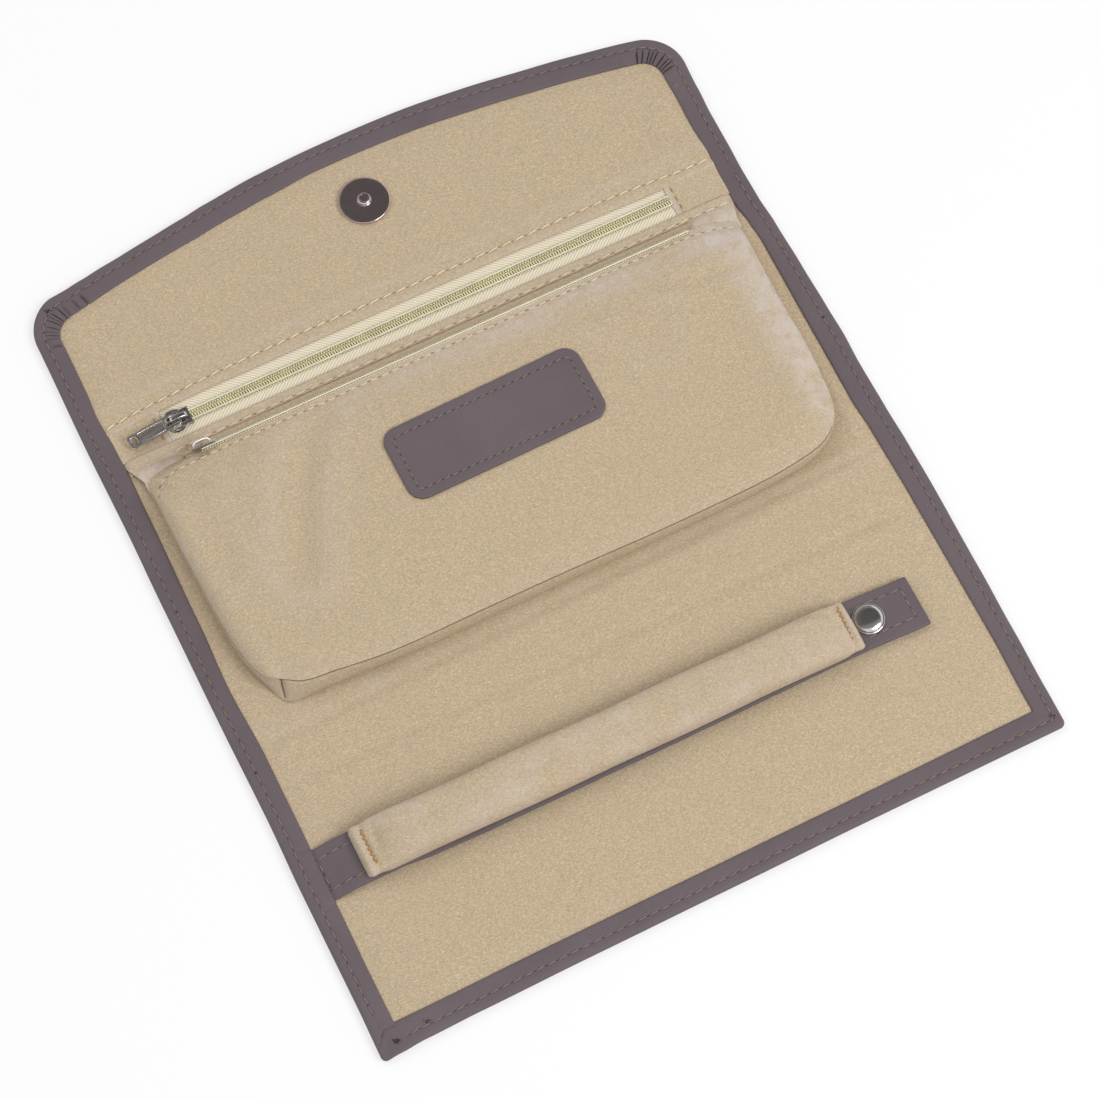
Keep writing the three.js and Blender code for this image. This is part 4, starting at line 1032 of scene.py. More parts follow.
class JEWELRY_OT_lining(bpy.types.Operator):
    """Velour lining in four parts, with folded edges along the pocket's zip"""

    bl_idname = "jewelry.lining"
    bl_label = "Velour lining"

    def execute(self, context):
        inset = 4
        half = HALF_WIDTH - inset
        x = np.linspace(-half, half, 250)
        for name, low, high, bodies, crease, replaced, rests_on in (
            ("lining_lower", inset, SPLIT_LOWER, ("lower_panel", "lower_spine"), CREASE_LOWER_PANEL,
             ["lining_lower_panel", "lining_lower_spine"], "interlining_lower_panel"),
            ("lining_middle_part", SPLIT_LOWER, SPLIT_MIDDLE, ("lower_spine", "middle"),
             CREASE_LOWER_SPINE, ["lining_middle"], "interlining_middle"),
        ):
            gx, gy = crossed(x, rows_of(low, high, crease, step=1.3))
            nap = 0.3 * hump(gy, CREASE_LOWER_SPINE, 4) * (0.5 + 0.5 * softness(gx, gy, 14, 8))
            grid = np.stack([gx, gy, lining_height(gx, gy)], 2)
            lining_piece(name, [surface(grid, nap=nap)], bodies, crease, replaced)
        self.strip(x)
        self.flap(np.linspace(-half, half, 400))
        finish_nodes("pocket", "pocket_lining")
        return {"FINISHED"}

    def strip(self, x):
        """Lining above the pouch, and over it the band that is folded round the zip's lower tape:
        a closed profile carried along the band's row of stitches."""
        gx, gy = crossed(x, rows_of(SPLIT_MIDDLE, 222.5, CREASE_UPPER_SPINE, step=1.3))
        base = surface(np.stack([gx, gy, lining_height(gx, gy)], 2))
        x = np.linspace(x[0], x[-1], 360)
        row = wander(BAND_STITCHES, x)
        low = row - 0.75
        wave = 0.06 * np.sin(x * 1.3) + 0.05 * softness(x, 0 * x, 20, 12)
        # (y, z) from its sewn edge over the fold to the end of the upper layer, and back under it
        profile = [(low + 1.5, 2.6), (low + 0.1, 2.75), (low - 0.1, 3.1), (low + 0.05, 3.5),
                   (low + 0.35, 3.66), (row, 3.5), (row + 0.4, 3.56), (row + 0.9, 3.7),
                   (row + 1.6, 3.75), (0 * x + 222.5, 3.72), (0 * x + 223.1, 3.6),
                   (0 * x + 223.4, 3.3), (0 * x + 223.2, 2.98), (0 * x + 222.4, 2.85)]
        band = np.stack([np.stack([x, y, z + wave * (z > 3.2)], 1) for y, z in profile], 1)
        # Both ends are pressed flat under the border
        sink = smoothstep(np.abs(x), 112.5, 116.2)[:, None]
        band[..., 2] = band[..., 2] * (1 - sink) + (1.95 + (band[..., 2] - 2.6) * 0.12) * sink
        thread = run_of_stitches(np.stack([x, row], 1)[np.abs(x) < 114],
                                 lambda px, py: 3.5 - 1.4 * smoothstep(np.abs(px), 112.5, 116.2),
                                 sizes().lining_pitch / MM, 3.8, 2, radius=0.26, lift=0.2,
                                 lean=0.05, curl=0.08)
        lining_piece("lining_strip", [base, surface(capped(band), closed=True, nap=0.25), *thread],
                     ("middle", "upper_spine"), CREASE_UPPER_SPINE, ["zip_strip"])

    def flap(self, x):
        """The flap's lining: its first rows follow the folded edge above the zip, its last ones
        the arched top edge."""
        y = rows_of(236.0, 300, CREASE_FLAP, step=1.1)
        share = (y - y[0]) / (y[-1] - y[0])
        hem = wander(HEM, x)
        gx = np.repeat(x[:, None], len(y), 1)
        arched = y[0] + (flap_edge(x, 5)[:, None] - y[0]) * share[None]
        bend = smoothstep(share, 0.3, 1.0)[None]
        gy = y[None] * (1 - bend) + arched * bend
        gy = gy + (hem[:, None] + 0.6 - y[0]) * (1 - smoothstep(y, y[0], y[0] + 4.5))[None]
        grid = np.stack([gx, gy, hem_height(gx, gy)], 2)
        top = grid[:, :1, 2]
        # Five rows more turn the cloth under along its folded edge
        fold = np.stack([np.column_stack([x, hem + dy, top[:, 0] + dz]) for dy, dz in (
            (1.8, -0.72), (0.5, -0.7), (0.08, -0.52), (0.0, -0.28), (0.18, -0.08))], 1)
        grid = np.concatenate([fold, grid], 1)
        near = grid[..., 1] - hem[:, None]
        nap = 0.35 * (1 - smoothstep(near, 0, 4)) + 0.25 * hump(near, 9, 2)
        thread = run_of_stitches(np.array(HEM_STITCHES), hem_height, sizes().lining_pitch / MM, 4.0,
                                 2, radius=0.3, lift=0.3, lean=0.12, curl=0.12)
        lining_piece("lining_flap_part", [surface(grid, nap=nap), *thread],
                     ("upper_spine", "flap"), CREASE_FLAP, ["lining_upper_spine", "lining_flap"])


# ---------------------------------------------------------------- pouch

# Outline of the pouch as (x, y, z): the fold along its zip, the seam of its front with the round
# right corner, the two folded sides, and where the wall below each of them meets the lining
FOLD = [(-111.9, 209.5, 5.2), (-110.5, 211.6, 5.8), (-107, 212.9, 6.8), (-101, 213.2, 8.0),
        (-94, 213, 8.9), (-85, 212.9, 9.4), (-70, 212.8, 9.8), (-35, 212.8, 9.9), (0, 212.9, 9.9),
        (30, 212.9, 9.9), (60, 212.9, 9.8), (85, 213.3, 9.4), (95, 213.9, 8.6),
        (101, 213.9, 7.7), (107, 212.4, 6.6), (112.4, 210.4, 5.6)]
SEAM = [(-101.2, 126.9, 11), (-94.3, 122.8, 11), (-82.5, 121.3, 11), (-70.7, 119.8, 11),
        (-61.3, 119.2, 11), (-49.6, 119, 11), (-30, 119.1, 11), (0, 118.9, 11),
        (30, 118.3, 11), (56.7, 118.3, 11), (71.4, 118.6, 11), (80.2, 119.2, 10.9),
        (89, 120.4, 10.5), (94, 121.4, 10.1), (98.1, 122.8, 9.7), (102.9, 125.8, 9.2),
        (106.9, 131, 8.8), (109, 137.6, 8.4), (109.9, 144.6, 8.2)]
SEAM_FOOT = [(-102.4, 121.4), (-98.1, 120.4), (-83.3, 120), (-64.5, 119.2), (-46.9, 118.5),
             (-28.7, 118.6), (0, 118.6), (31.7, 118.4), (58.2, 118.4), (72.9, 118.9),
             (81.7, 119.6), (87.6, 120.1), (93, 121.4), (97.2, 123.3), (101.7, 126.3),
             (105.5, 131.2), (107.4, 138), (108.3, 144.8)]
LEFT = [(-101.2, 126.9, 11), (-104.8, 129.2, 10.3), (-107.4, 134, 9.2), (-109.3, 142, 8),
        (-110.4, 152, 7.6), (-110.9, 165, 7.3), (-111.4, 180, 7.1), (-111.6, 195, 7),
        (-111.5, 204, 6.4), (-111.9, 209.5, 5.2)]
LEFT_FOOT = [(-102.4, 121.4), (-104.6, 126), (-106.6, 133), (-108.3, 142), (-109.2, 152),
             (-109.7, 165), (-110, 180), (-110.2, 195), (-110.2, 204), (-110.8, 209)]
RIGHT = [(109.9, 144.6, 8.2), (110.3, 151, 8.1), (110.7, 160, 8), (110.6, 172, 7.8),
         (110.8, 186, 7.5), (111.4, 198, 7), (111.8, 205, 6.4), (112.4, 210.4, 5.6)]
RIGHT_FOOT = [(108.3, 144.8), (108.6, 151), (109.1, 160), (109, 172), (109.3, 186),
              (109.9, 198), (110.3, 205), (111.1, 209.8)]
FOLD_STITCHES = [(-110.3, 204.5), (-109.3, 207), (-107.5, 208.5), (-104.8, 209.7), (-101, 210.4),
                 (-83, 210.4), (-40, 210.6), (0, 210.7), (40, 210.9), (73, 211.4), (93, 211.3),
                 (103, 210.2), (110, 208.6)]
# Steps (y, z) by which the front is turned under beyond its fold
TURNED_UNDER = ((0.35, -0.15), (0.55, -0.5), (0.45, -0.9), (0.0, -1.2), (-1.2, -1.35))
# Height of the pouch's foot on the lining, and radius of its two folded sides
FOOT, SIDE_ROUND = 2.6, 6.5


def patch_between(bottom, top, left, right):
    """Coons patch: the sum of the two ruled surfaces less the one through the four corners."""
    u = np.linspace(0, 1, len(bottom))[:, None, None]
    v = np.linspace(0, 1, len(left))[None, :, None]
    ruled = bottom[:, None] * (1 - v) + top[:, None] * v + left[None] * (1 - u) + right[None] * u
    corners = ((1 - u) * (1 - v) * bottom[0] + u * (1 - v) * bottom[-1]
               + (1 - u) * v * top[0] + u * v * top[-1])
    return ruled - corners


def pouch_shape(x, y):
    """Height and nap of the front; the nap holds painted light on ridges and edges too. From a
    soft, nearly level crown it falls to each part of its outline: the fall is the height above that
    line times a share that fades with the distance, and the falls are joined by the cube root of
    the sum of their cubes."""
    crown = sizes().pouch_height / MM - 0.25 + 0.2 * softness(x, y, 60, 11)
    # Soft valleys: from the zip's left end down beside the patch, along the left fold, and from
    # the zip's right end
    ridge_highlight = np.zeros_like(x)
    for line, width, depth in (
        ([(-46, 214), (-58, 199), (-66, 187), (-74, 170), (-79, 158)], 6, 1.7),
        ([(-98, 205), (-101, 185), (-101, 168)], 5, 0.7),
        ([(66, 204), (80, 196), (104, 193)], 2.6, 0.55),
        ([(40, 208), (58, 196), (64, 184)], 6, 0.5),
    ):
        away = nearest_on(x, y, curve_through(line, 30))[0]
        crown = crown - depth * (hump(away, 0, width) - 0.3 * hump(away, 1.9 * width, width))
        # Painted highlight: paler pile on the ridge beside each valley
        ridge_highlight = ridge_highlight + 0.14 * depth * hump(away, 1.7 * width, 0.8 * width)
    (to_seam, z_seam), (to_fold, z_fold), (to_left, z_left), (to_right, z_right) = (
        nearest_on(x, y, curve_through(line, 130)) for line in (SEAM, FOLD, LEFT, RIGHT))
    falls = [(crown - z_seam) * np.clip(1 - to_seam / 11, 0, 1) ** 2.2,
             (crown - z_fold) * np.clip(1 - to_fold / 20, 0, 1) ** 2,
             (crown - z_left) * (1 - quarter(to_left, SIDE_ROUND)),
             (crown - z_right) * (1 - quarter(to_right, SIDE_ROUND))]
    z = crown - np.cbrt(sum(np.clip(f, 0, None) ** 3 for f in falls))
    row = nearest_on(x, y, curve_through(FOLD_STITCHES, 60))[0]
    z = z - 0.16 * hump(row, 0, 0.7) + 0.1 * hump(row, 2.2, 1.2)
    side = np.minimum(to_left, to_right)
    nap = ridge_highlight + 0.25 * hump(side, 0, 3) + 0.2 * hump(to_seam, 0, 2)
    # Paler right end and top edge: painted light where light falls on them, and worn pile
    nap = nap + 0.75 * smoothstep(x, 94, 104) * smoothstep(y, 122, 134)
    nap = nap + 0.55 * smoothstep(y, 198, 207) * smoothstep(np.abs(x - 30), 110, 20)
    nap = nap + 0.5 * smoothstep(x, 84, 100) * smoothstep(y, 196, 206)
    return z, nap


class JEWELRY_OT_pouch(bpy.types.Operator):
    """Pouch with its front, gusset and back, and the bare name patch"""

    bl_idname = "jewelry.pouch"
    bl_label = "Zip pouch"

    def execute(self, context):
        across, up = 270, 120
        seam, fold = curve_through(SEAM, across), curve_through(FOLD, across)
        left, right = curve_through(LEFT, up), curve_through(RIGHT, up)
        x, y = np.moveaxis(patch_between(*(c[:, :2] for c in (seam, fold, left, right))), -1, 0)
        z, nap = pouch_shape(x, y)
        front = np.dstack([x, y, z])
        under = [front[:, -1:] + (0, dy, dz) for dy, dz in TURNED_UNDER]
        front = np.concatenate([front, *under], 1)
        nap = np.concatenate([nap, np.repeat(nap[:, -1:], len(under), 1)], 1)
        thread = run_of_stitches(
            FOLD_STITCHES, lambda px, py: self.level(front, px, py) - 0.02, 4.0, 2.6, 2,
            radius=0.16, lift=0.08)
        wall, wall_nap, creases = self.wall(front, nap, up)
        obj = piece("pouch_front_panel", [surface(front, nap=nap), surface(wall, nap=wall_nap),
                                          *thread, *creases], SEWN_VELOUR)
        attach(obj, ["pouch"], ["pouch_front"], "velour")
        low, left, right = (curve_through(line, count) for line, count in (
            (SEAM_FOOT, 120), (LEFT_FOOT, 60), (RIGHT_FOOT, 60)))
        top = np.linspace(left[-1], right[-1], 120)
        back = patch_between(low, top, left, right) * (0.998, 1) + (0, 0.1)
        back = np.dstack([back, np.full(back.shape[:2], FOOT - 0.04)])
        obj = piece("pouch_back_panel", [surface(back, flip=True)], ["velour"], cloth=(0.6, -1))
        attach(obj, ["pouch"], ["pouch_back"], "velour")
        self.patch()
        return {"FINISHED"}

    def level(self, front, x, y):
        """Height of the front at places near its fold: along the nearest column of the grid."""
        front = front[:, :-len(TURNED_UNDER)]
        column = np.abs(front[:, -7, 0] - np.asarray(x)[:, None]).argmin(1)
        return np.array([np.interp(b, front[k, :, 1], front[k, :, 2])
                         for k, b in zip(column, y)])

    def wall(self, front, nap, up):
        """Gusset: from the front's outline down to its foot on the lining, swelling out between;
        below the seam it first turns in to a narrow groove, in which dark tubes paint the seam's
        shadow."""
        loop, loop_nap = (np.concatenate([grid[0, :up][::-1], grid[1:-1, 0], grid[-1, :up]])
                          for grid in (front, nap))
        foot = np.concatenate([curve_through(LEFT_FOOT, up)[::-1],
                               curve_through(SEAM_FOOT, len(front))[1:-1],
                               curve_through(RIGHT_FOOT, up)])
        ahead = heading(loop[:, :2])
        out = np.stack([ahead[:, 1], -ahead[:, 0]], 1)
        place, end = np.arange(len(loop)), up + len(front)
        sewn = smoothstep(place, up - 4, up + 4) * (1 - smoothstep(place, end - 14, end))
        corner = hump(place, up - 1, 0.8)
        rows, pale = [], []
        for share in (0, 0.02, 0.045, 0.08, 0.13, 0.2, 0.3, 0.4, 0.5, 0.6, 0.7, 0.8, 0.9, 0.96, 1):
            # A plain side goes on straight down before it turns in; below the seam it swells
            wave = math.sin(math.pi * share)
            swell = (sewn * (0.95 * wave ** 0.7 - 0.95 * hump(share, 0.035, 0.03))
                     + (1 - sewn) * 0.4 * wave**2 - 1.1 * corner * (share > 0))
            mixed = (sewn * share + (1 - sewn) * share**2)[:, None]
            xy = loop[:, :2] * (1 - mixed) + foot * mixed + out * swell[:, None]
            z = loop[:, 2] * (1 - share) + FOOT * share - 0.25 * sewn * wave
            rows.append(np.column_stack([xy, z]))
            pale.append(0.25 * loop_nap + 0.5 * (loop[:, 0] < -95) * (0.2 + share))
        # Painted shadow of the seam: dark tubes along the groove and down the left corner
        groove = (loop + 0.1 * np.column_stack([out, 0 * place]))[up - 1:end - 24:2]
        groove[:, 2] -= 0.3
        edge = np.stack([r[up - 1] for r in rows], 0) + (-0.2, -0.2, 0)
        creases = [tube(groove, 0.17, 5, 2), tube(edge, 0.2, 5, 2)]
        return np.stack(rows, 1), np.stack(pale, 1), creases

    def patch(self):
        """Rounded leather plate with a cut edge and a row of stitches near it."""
        cx, cy = centre_of("name_patch")[:2] + np.array((0.2, 0))
        half_width, half_height, tilt = 36.85, 14.05, math.radians(0.55)

        def ring(inset, z, corner=5.6):
            """Rounded rectangle, a little turned, whose top edge climbs towards its right end."""
            a = np.concatenate([np.linspace(k, k + 1, 14) for k in range(4)]) * math.pi / 2
            sx, sy = np.repeat([1, -1, -1, 1], 14), np.repeat([1, 1, -1, -1], 14)
            r = max(corner - inset, 0.4)
            px = sx * (half_width - inset - r) + r * np.cos(a)
            py = sy * (half_height - inset - r) + r * np.sin(a)
            py = py * (1 + 0.05 * smoothstep(px, -half_width, half_width) * (py > 0))
            return np.stack([cx + px * math.cos(tilt) - py * math.sin(tilt),
                             cy + px * math.sin(tilt) + py * math.cos(tilt),
                             np.full_like(px, z)], 1)

        base = sizes().pouch_height / MM - 0.1
        # Rings of (inset, height): up the cut edge, across the groove under the stitches, inwards
        plate = [ring(*step) for step in (
            (0.7, base - 0.35), (0.15, base - 0.3), (0, base - 0.1), (0, base + 0.55),
            (0.15, base + 0.75), (0.45, base + 0.85), (1.1, base + 0.9), (2.6, base + 0.92),
            (3.2, base + 0.84), (3.5, base + 0.8), (3.8, base + 0.84), (4.5, base + 0.93),
            (9, base + 0.95), (13.6, base + 0.95))]
        # The last ring closes on the patch's middle line
        spine = plate[-1].copy()
        spine[:, 1] = cy + (spine[:, 0] - cx) * math.tan(tilt)
        plate = np.stack([*plate, spine], 0)
        line = ring(3.5, base, 5.4)
        line = even_path(np.concatenate([line, line[:1]]), 500)
        rows = run_of_stitches(line[:, :2], base + 0.8, 3.2, 2.35, 2, lift=0.17, lean=0.22,
                               curl=0.16)
        obj = piece("name_patch_leather", [surface(plate, closed=True, flip=True), *rows],
                    SEWN_LEATHER)
        attach(obj, ["pouch"], ["name_patch"], "leather")


# ---------------------------------------------------------------- ring strap


STRAP_MIDDLE = [(-118, 62), (-93, 62), (-80, 61), (-60, 60.5), (0, 60.3), (76, 60.7), (101, 59.8)]
ROLL_MIDDLE = [(-104, 62.1), (-60, 61.5), (0, 61.1), (77, 60.9)]
# Half of the strap's width, its thickness, and that of its pared root
STRAP_HALF, STRAP_THICK, STRAP_PARED = 9.35, 1.6, 0.9
# Half of the roll's width, and the height of its flat side on the strap
ROLL_HALF, ROLL_BASE = 9.3, 5.65


def strap_level(x):
    """Height of the strap's underside: out from under the border and up to its level."""
    return 2.0 + 2.0 * smoothstep(x, -117.2, -107)


def strap_thickness(x):
    """Pared thin under the border, full from there on."""
    return STRAP_PARED + (STRAP_THICK - STRAP_PARED) * smoothstep(x, -117.2, -115.2)


class JEWELRY_OT_strap(bpy.types.Operator):
    """Leather strap with box stitching, the padded ring roll on it and the snap fastener"""

    bl_idname = "jewelry.strap"
    bl_label = "Ring strap"

    def execute(self, context):
        self.strap()
        self.roll()
        self.snap()
        return {"FINISHED"}

    def strap(self):
        """A rounded rectangle of leather carried along x; under the border it is pared thin."""
        x = np.concatenate([np.linspace(-120, -100, 80), np.linspace(-99.5, 99.5, 170),
                            np.linspace(99.7, 101.0, 10)])
        thick = strap_thickness(x)
        a = full_turn(48)
        c, s = np.cos(a), np.sin(a)
        y = squared(c, 0.16) * STRAP_HALF
        z = squared(s, 0.5) / 2
        # The far end is rounded over, and a shallow channel runs along under the stitches
        end = np.sqrt(np.clip(1 - smoothstep(x, 100.2, 101.0) ** 2, 0.02, 1))[:, None]
        gx = np.repeat(x[:, None], len(a), 1)
        gy = wander(STRAP_MIDDLE, x)[:, None] + y[None] * (0.94 + 0.06 * end)
        gz = (strap_level(x) + thick / 2)[:, None] + z[None] * end * thick[:, None]
        gz = gz - 0.12 * hump(np.abs(y), 5.7, 0.6)[None] * (z > 0)[None]
        grid = np.stack([gx, gy, gz], 2)
        rows = [r for line, pitch in (
            ([(-116.4, 67.45), (-103.5, 67.45)], 4.4), ([(-116.4, 56.3), (-103.5, 56.3)], 4.4),
            ([(-116.2, 57.5), (-116.2, 66.5)], 4.4),
            ([(79, 66.6), (97.3, 65.7)], 4.2), ([(97.3, 65.7), (97.3, 54.7)], 3.8),
            ([(97.3, 54.7), (79, 55.1)], 4.2),
        ) for r in run_of_stitches(
            even_path(line, 30), lambda px, py: strap_level(px) + strap_thickness(px) - 0.1,
            pitch, pitch * 0.7, 2, radius=0.23, lift=0.18, lean=0.06, curl=0.08)]
        obj = piece("ring_strap_leather", [surface(capped(grid), closed=True), *rows],
                    SEWN_LEATHER, outward=True)
        attach(obj, ("lower_panel", "ring_strap"), ["ring_strap", "ring_strap_root"], "leather",
               (-116.5, 61, 0), (-107.5, 61, 0))

    def roll(self):
        """A soft D-section carried along x: flat below, full in the middle, drawn in and sewn
        down near its folded ends."""
        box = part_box("ring_roll_cover")
        x0, x1 = box[0][0] / MM - 0.4, box[1][0] / MM + 0.9
        u = np.linspace(0, 1, 300)
        x = x0 + (x1 - x0) * (0.7 * (1 - np.cos(math.pi * u)) / 2 + 0.3 * u)
        from_end = np.minimum(x - x0, x1 - x)[:, None]
        a = full_turn(84)
        c, s = np.cos(a)[None], np.sin(a)[None]
        belly = 2.0
        height = (sizes().roll_height / MM - ROLL_BASE) * (0.5 + 0.5 * smoothstep(from_end, 2, 16))
        half = ROLL_HALF + 0.15 * np.sin(x * 0.11)[:, None] - 0.5 * hump(from_end, 4, 2.5)
        gx = np.repeat(x[:, None], len(a), 1)
        y = half * (0.8 + 0.2 * quarter(from_end, 2.6)) * squared(c, 0.62)
        up = np.clip(s, 0, 1)
        z = ROLL_BASE + quarter(from_end, 1.9) * np.where(
            s > 0, belly + (height - belly) * np.abs(s) ** 0.74,
            belly * (1 - smoothstep(-s, 0, 0.45)))
        z = z + 0.2 * softness(gx, y, 26, 21) * up
        # Dents at the two rows of tacks, and soft folds that run out from them
        for cx, way in ((x0 + 4, 1), (x1 - 3.2, -1)):
            z = z - 0.75 * hump(gx, cx, 0.9) * up
            z = z - 0.8 * hump(gx, cx + way * 3.2, 1.7) * hump(y, 1.5, 5) * up
            z = z + 0.28 * np.sin(y * 1.3 + gx * 0.4) * hump(gx, cx + way * 10, 7) * up
        grid = np.stack([gx, wander(ROLL_MIDDLE, gx) + y, z], 2)
        nap = 0.22 + 0.25 * hump(from_end, 0, 3) + 0.15 * hump(np.abs(c), 1, 0.3) + 0 * gx
        nap = nap + 0.2 * softness(gx, y, 22, 5)

        def crest(cx, cy):
            """Height of the roll's upper side at places near one x."""
            k = int(np.abs(x - cx.mean()).argmin())
            over = grid[k][s[0] > 0.02]
            over = over[np.argsort(over[:, 1])]
            return np.interp(cy, over[:, 1], over[:, 2])

        # The tacks: a zigzag of thread across the roll near each end
        zigzag = []
        for (xa, ya), (xb, yb) in (((-99.95, 56.2), (-99.95, 68.6)), ((73.5, 55.8), (74.6, 68.1))):
            t = np.linspace(0, 1, 120)
            turn = np.arcsin(np.sin(t * 2 * math.pi * 6.5)) / (math.pi / 2)
            cx, cy = xa + (xb - xa) * t + 0.55 * turn, ya + (yb - ya) * t
            zigzag.append(tube(np.stack([cx, cy, crest(cx, cy) + 0.12], 1), 0.27, 6, 1))
        obj = piece("ring_roll_padded", [surface(grid, closed=True, nap=nap), *zigzag],
                    ["velour", "tan thread"], outward=True)
        attach(obj, ["ring_strap"], ["ring_roll_cover", "ring_roll_filling"], "velour")

    def snap(self):
        """Pressed metal: a domed cap with a rolled rim, the socket below it and the stud. The
        profile of (radius, height) goes from the rivet out round the rim and in over the dome."""
        cx, cy = centre_of("snap_cap")[:2]
        r, base = radius_of("snap_cap"), 5.6
        dome = [((r - 0.62) * math.cos(t), base + 0.88 + 1.45 * math.sin(t) ** 0.9)
                for t in np.linspace(0, math.pi / 2, 16)]
        dome[-1] = (0.0, dome[-1][1])
        rim = [(r - 0.5 + 0.5 * math.cos(t), base + 0.45 + 0.45 * math.sin(t))
               for t in np.linspace(-math.pi / 2, math.pi * 0.55, 12)]
        profile = [(0.0, 4.4), (1.3, 4.4), (1.4, base), *rim, *dome]
        obj = piece("snap_cap_dome", [turned(profile, cx, cy, 72)], ["nickel"], outward=True)
        attach(obj, ["ring_strap"], ["snap_cap"], "nickel")
        finish_nodes("nickel", "snap_socket", "snap_stud")
        finish_nodes("steel", "snap_post")


# ---------------------------------------------------------------- magnetic snap


class JEWELRY_OT_magnet(bpy.types.Operator):
    """Magnetic snap: plate with post on the flap, case and magnet in the lower panel"""

    bl_idname = "jewelry.magnet"
    bl_label = "Magnetic snap"

    def execute(self, context):
        """One profile of (radius, height) turned about the middle of the CAD plate: from the
        rivet out under the plate, up its rim, and in over the plate and its post."""
        cx, cy = centre_of("magnet_male_plate")[:2]
        r = radius_of("magnet_male_plate")
        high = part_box("magnet_male_plate")[1][2] / MM
        plate = high - 1.5
        profile = rounded([
            (0, 1.5), (1.8, 1.5), (1.8, LINING_TOP), (r - 0.3, LINING_TOP), (r, plate - 0.7),
            (r - 0.05, plate - 0.2), (r - 0.6, plate), (2.5, plate), (2.42, plate + 0.2),
            (2.4, high - 0.45), (1.95, high), (1.6, high), (1.5, high - 0.06), (0, high - 0.06),
        ], 0.3, 6)
        obj = piece("magnet_plate", [turned(profile, cx, cy, 80)], ["black nickel"], outward=True)
        attach(obj, ["flap"], ["magnet_male_plate"], "nickel")
        finish_nodes("steel", "magnet_male_washer", "magnet_female_magnet")
        finish_nodes("black nickel", "magnet_female_case")
        return {"FINISHED"}


# ---------------------------------------------------------------- zips

# Two places along y at the pouch's mouth, given to attach for the lower zip's tape and the band
# over it
MOUTH_BEND = ((0, 216.2, 0), (0, 218.2, 0))


def zip_frame(which):
    """Centre (y, z) and the across and off directions of a zip."""
    upper, lower = centre_of(f"{which}_zip_tape_upper"), centre_of(f"{which}_zip_tape_lower")
    origin = np.array([0, (upper[1] + lower[1]) / 2, (upper[2] + lower[2]) / 2])
    if which == "upper":
        return origin, np.array([0, 1.0, 0]), np.array([0, 0, 1.0])
    lean = math.radians(60)
    return (origin, np.array([0, math.cos(lean), -math.sin(lean)]),
            np.array([0, math.sin(lean), math.cos(lean)]))


def moved(which, part):
    """A surface given as (x, across, off the tape), in folder coordinates."""
    origin, across, off = zip_frame(which)
    p = part["points"]
    return {**part, "points": origin + p[:, :1] * (1, 0, 0) + p[:, 1:2] * across + p[:, 2:3] * off}


def zip_coil(x0, x1, side, pitch):
    """One side of a coil: an oval loop drawn out along x. Its heads lie a little past the middle
    line, half a pitch before the other side's."""
    turns = int((x1 - x0) / pitch)
    a = np.linspace(0, 2 * math.pi * turns, turns * 10 + 1)
    x = x0 + pitch * (a / (2 * math.pi) + (0.25 if side > 0 else 0.75))
    return np.stack([x, side * (0.62 - 0.75 * np.cos(a)), 0.86 + 0.5 * np.sin(a)], 1)


def tape(x0, x1, profile):
    """Woven tape: a profile (y, z) carried along x. Ribs that lean away from the coil stand up
    from it; its underside is smooth."""
    pitch, relief, thick = 1.5, 0.14, 0.3
    line = even_path(curve_through(profile, 60), int(along(np.array(profile))[-1] / 0.3) + 2)
    ahead = heading(line)
    off = np.stack([-ahead[:, 1], ahead[:, 0]], 1)
    off = off * np.sign(off[:, 1:].sum())
    x = np.arange(x0, x1, 0.22)
    rib = (0.5 + 0.5 * np.cos(2 * math.pi * (x[:, None] + 1.2 * along(line)) / pitch)) ** 0.7
    yz = line[None] + off[None] * (relief * rib - relief / 2)[..., None]
    top = np.dstack([np.repeat(x[:, None], len(line), 1), yz])
    under = np.dstack([top[..., 0], np.repeat((line - off * thick)[None], len(x), 0)])[:, ::-1]
    nap = np.concatenate([rib, rib[:, ::-1]], 1)
    return surface(np.concatenate([top, under], 1), closed=True, nap=nap)


def plate(outline, low, high, bevel, holes=()):
    """A flat outline with holes, made thick between two heights with rounded edges."""
    curve = bpy.data.curves.new("outline", "CURVE")
    curve.dimensions = "2D"
    curve.fill_mode = "BOTH"
    curve.extrude = (high - low) / 2 - bevel
    curve.bevel_depth = bevel
    curve.bevel_resolution = 2
    curve.offset = -bevel
    for loop in (outline, *holes):
        spline = curve.splines.new("POLY")
        spline.points.add(len(loop) - 1)
        for point, (x, y) in zip(spline.points, loop):
            point.co = (x, y, 0, 1)
        spline.use_cyclic_u = True
    obj = bpy.data.objects.new("outline", curve)
    bpy.context.scene.collection.objects.link(obj)
    bpy.context.view_layer.update()
    now = bpy.context.evaluated_depsgraph_get()
    mesh = bpy.data.meshes.new_from_object(obj.evaluated_get(now))
    bpy.data.objects.remove(obj)
    points = np.zeros(len(mesh.vertices) * 3)
    mesh.vertices.foreach_get("co", points)
    mesh.calc_loop_triangles()
    tris = np.zeros(len(mesh.loop_triangles) * 3, int)
    mesh.loop_triangles.foreach_get("vertices", tris)
    bpy.data.meshes.remove(mesh)
    tris = tris.reshape(-1, 3)
    return {"points": points.reshape(-1, 3) + (0, 0, (low + high) / 2),
            "faces": np.column_stack([tris, tris[:, 2]]), "material": 0,
            "nap": np.zeros(len(points) // 3)}


def paint_broad_faces(obj, off, dull):
    """Gives the broad faces, those square to that direction, a finish of their own: another copy of
    the plating, their painted reflection.
    """
    mesh = obj.data
    mesh.materials.append(finish_of(dull))
    normals = np.zeros(len(mesh.polygons) * 3)
    mesh.polygons.foreach_get("normal", normals)
    broad = np.abs(normals.reshape(-1, 3) @ off) > 0.97
    mesh.polygons.foreach_set("material_index", broad.astype(int))


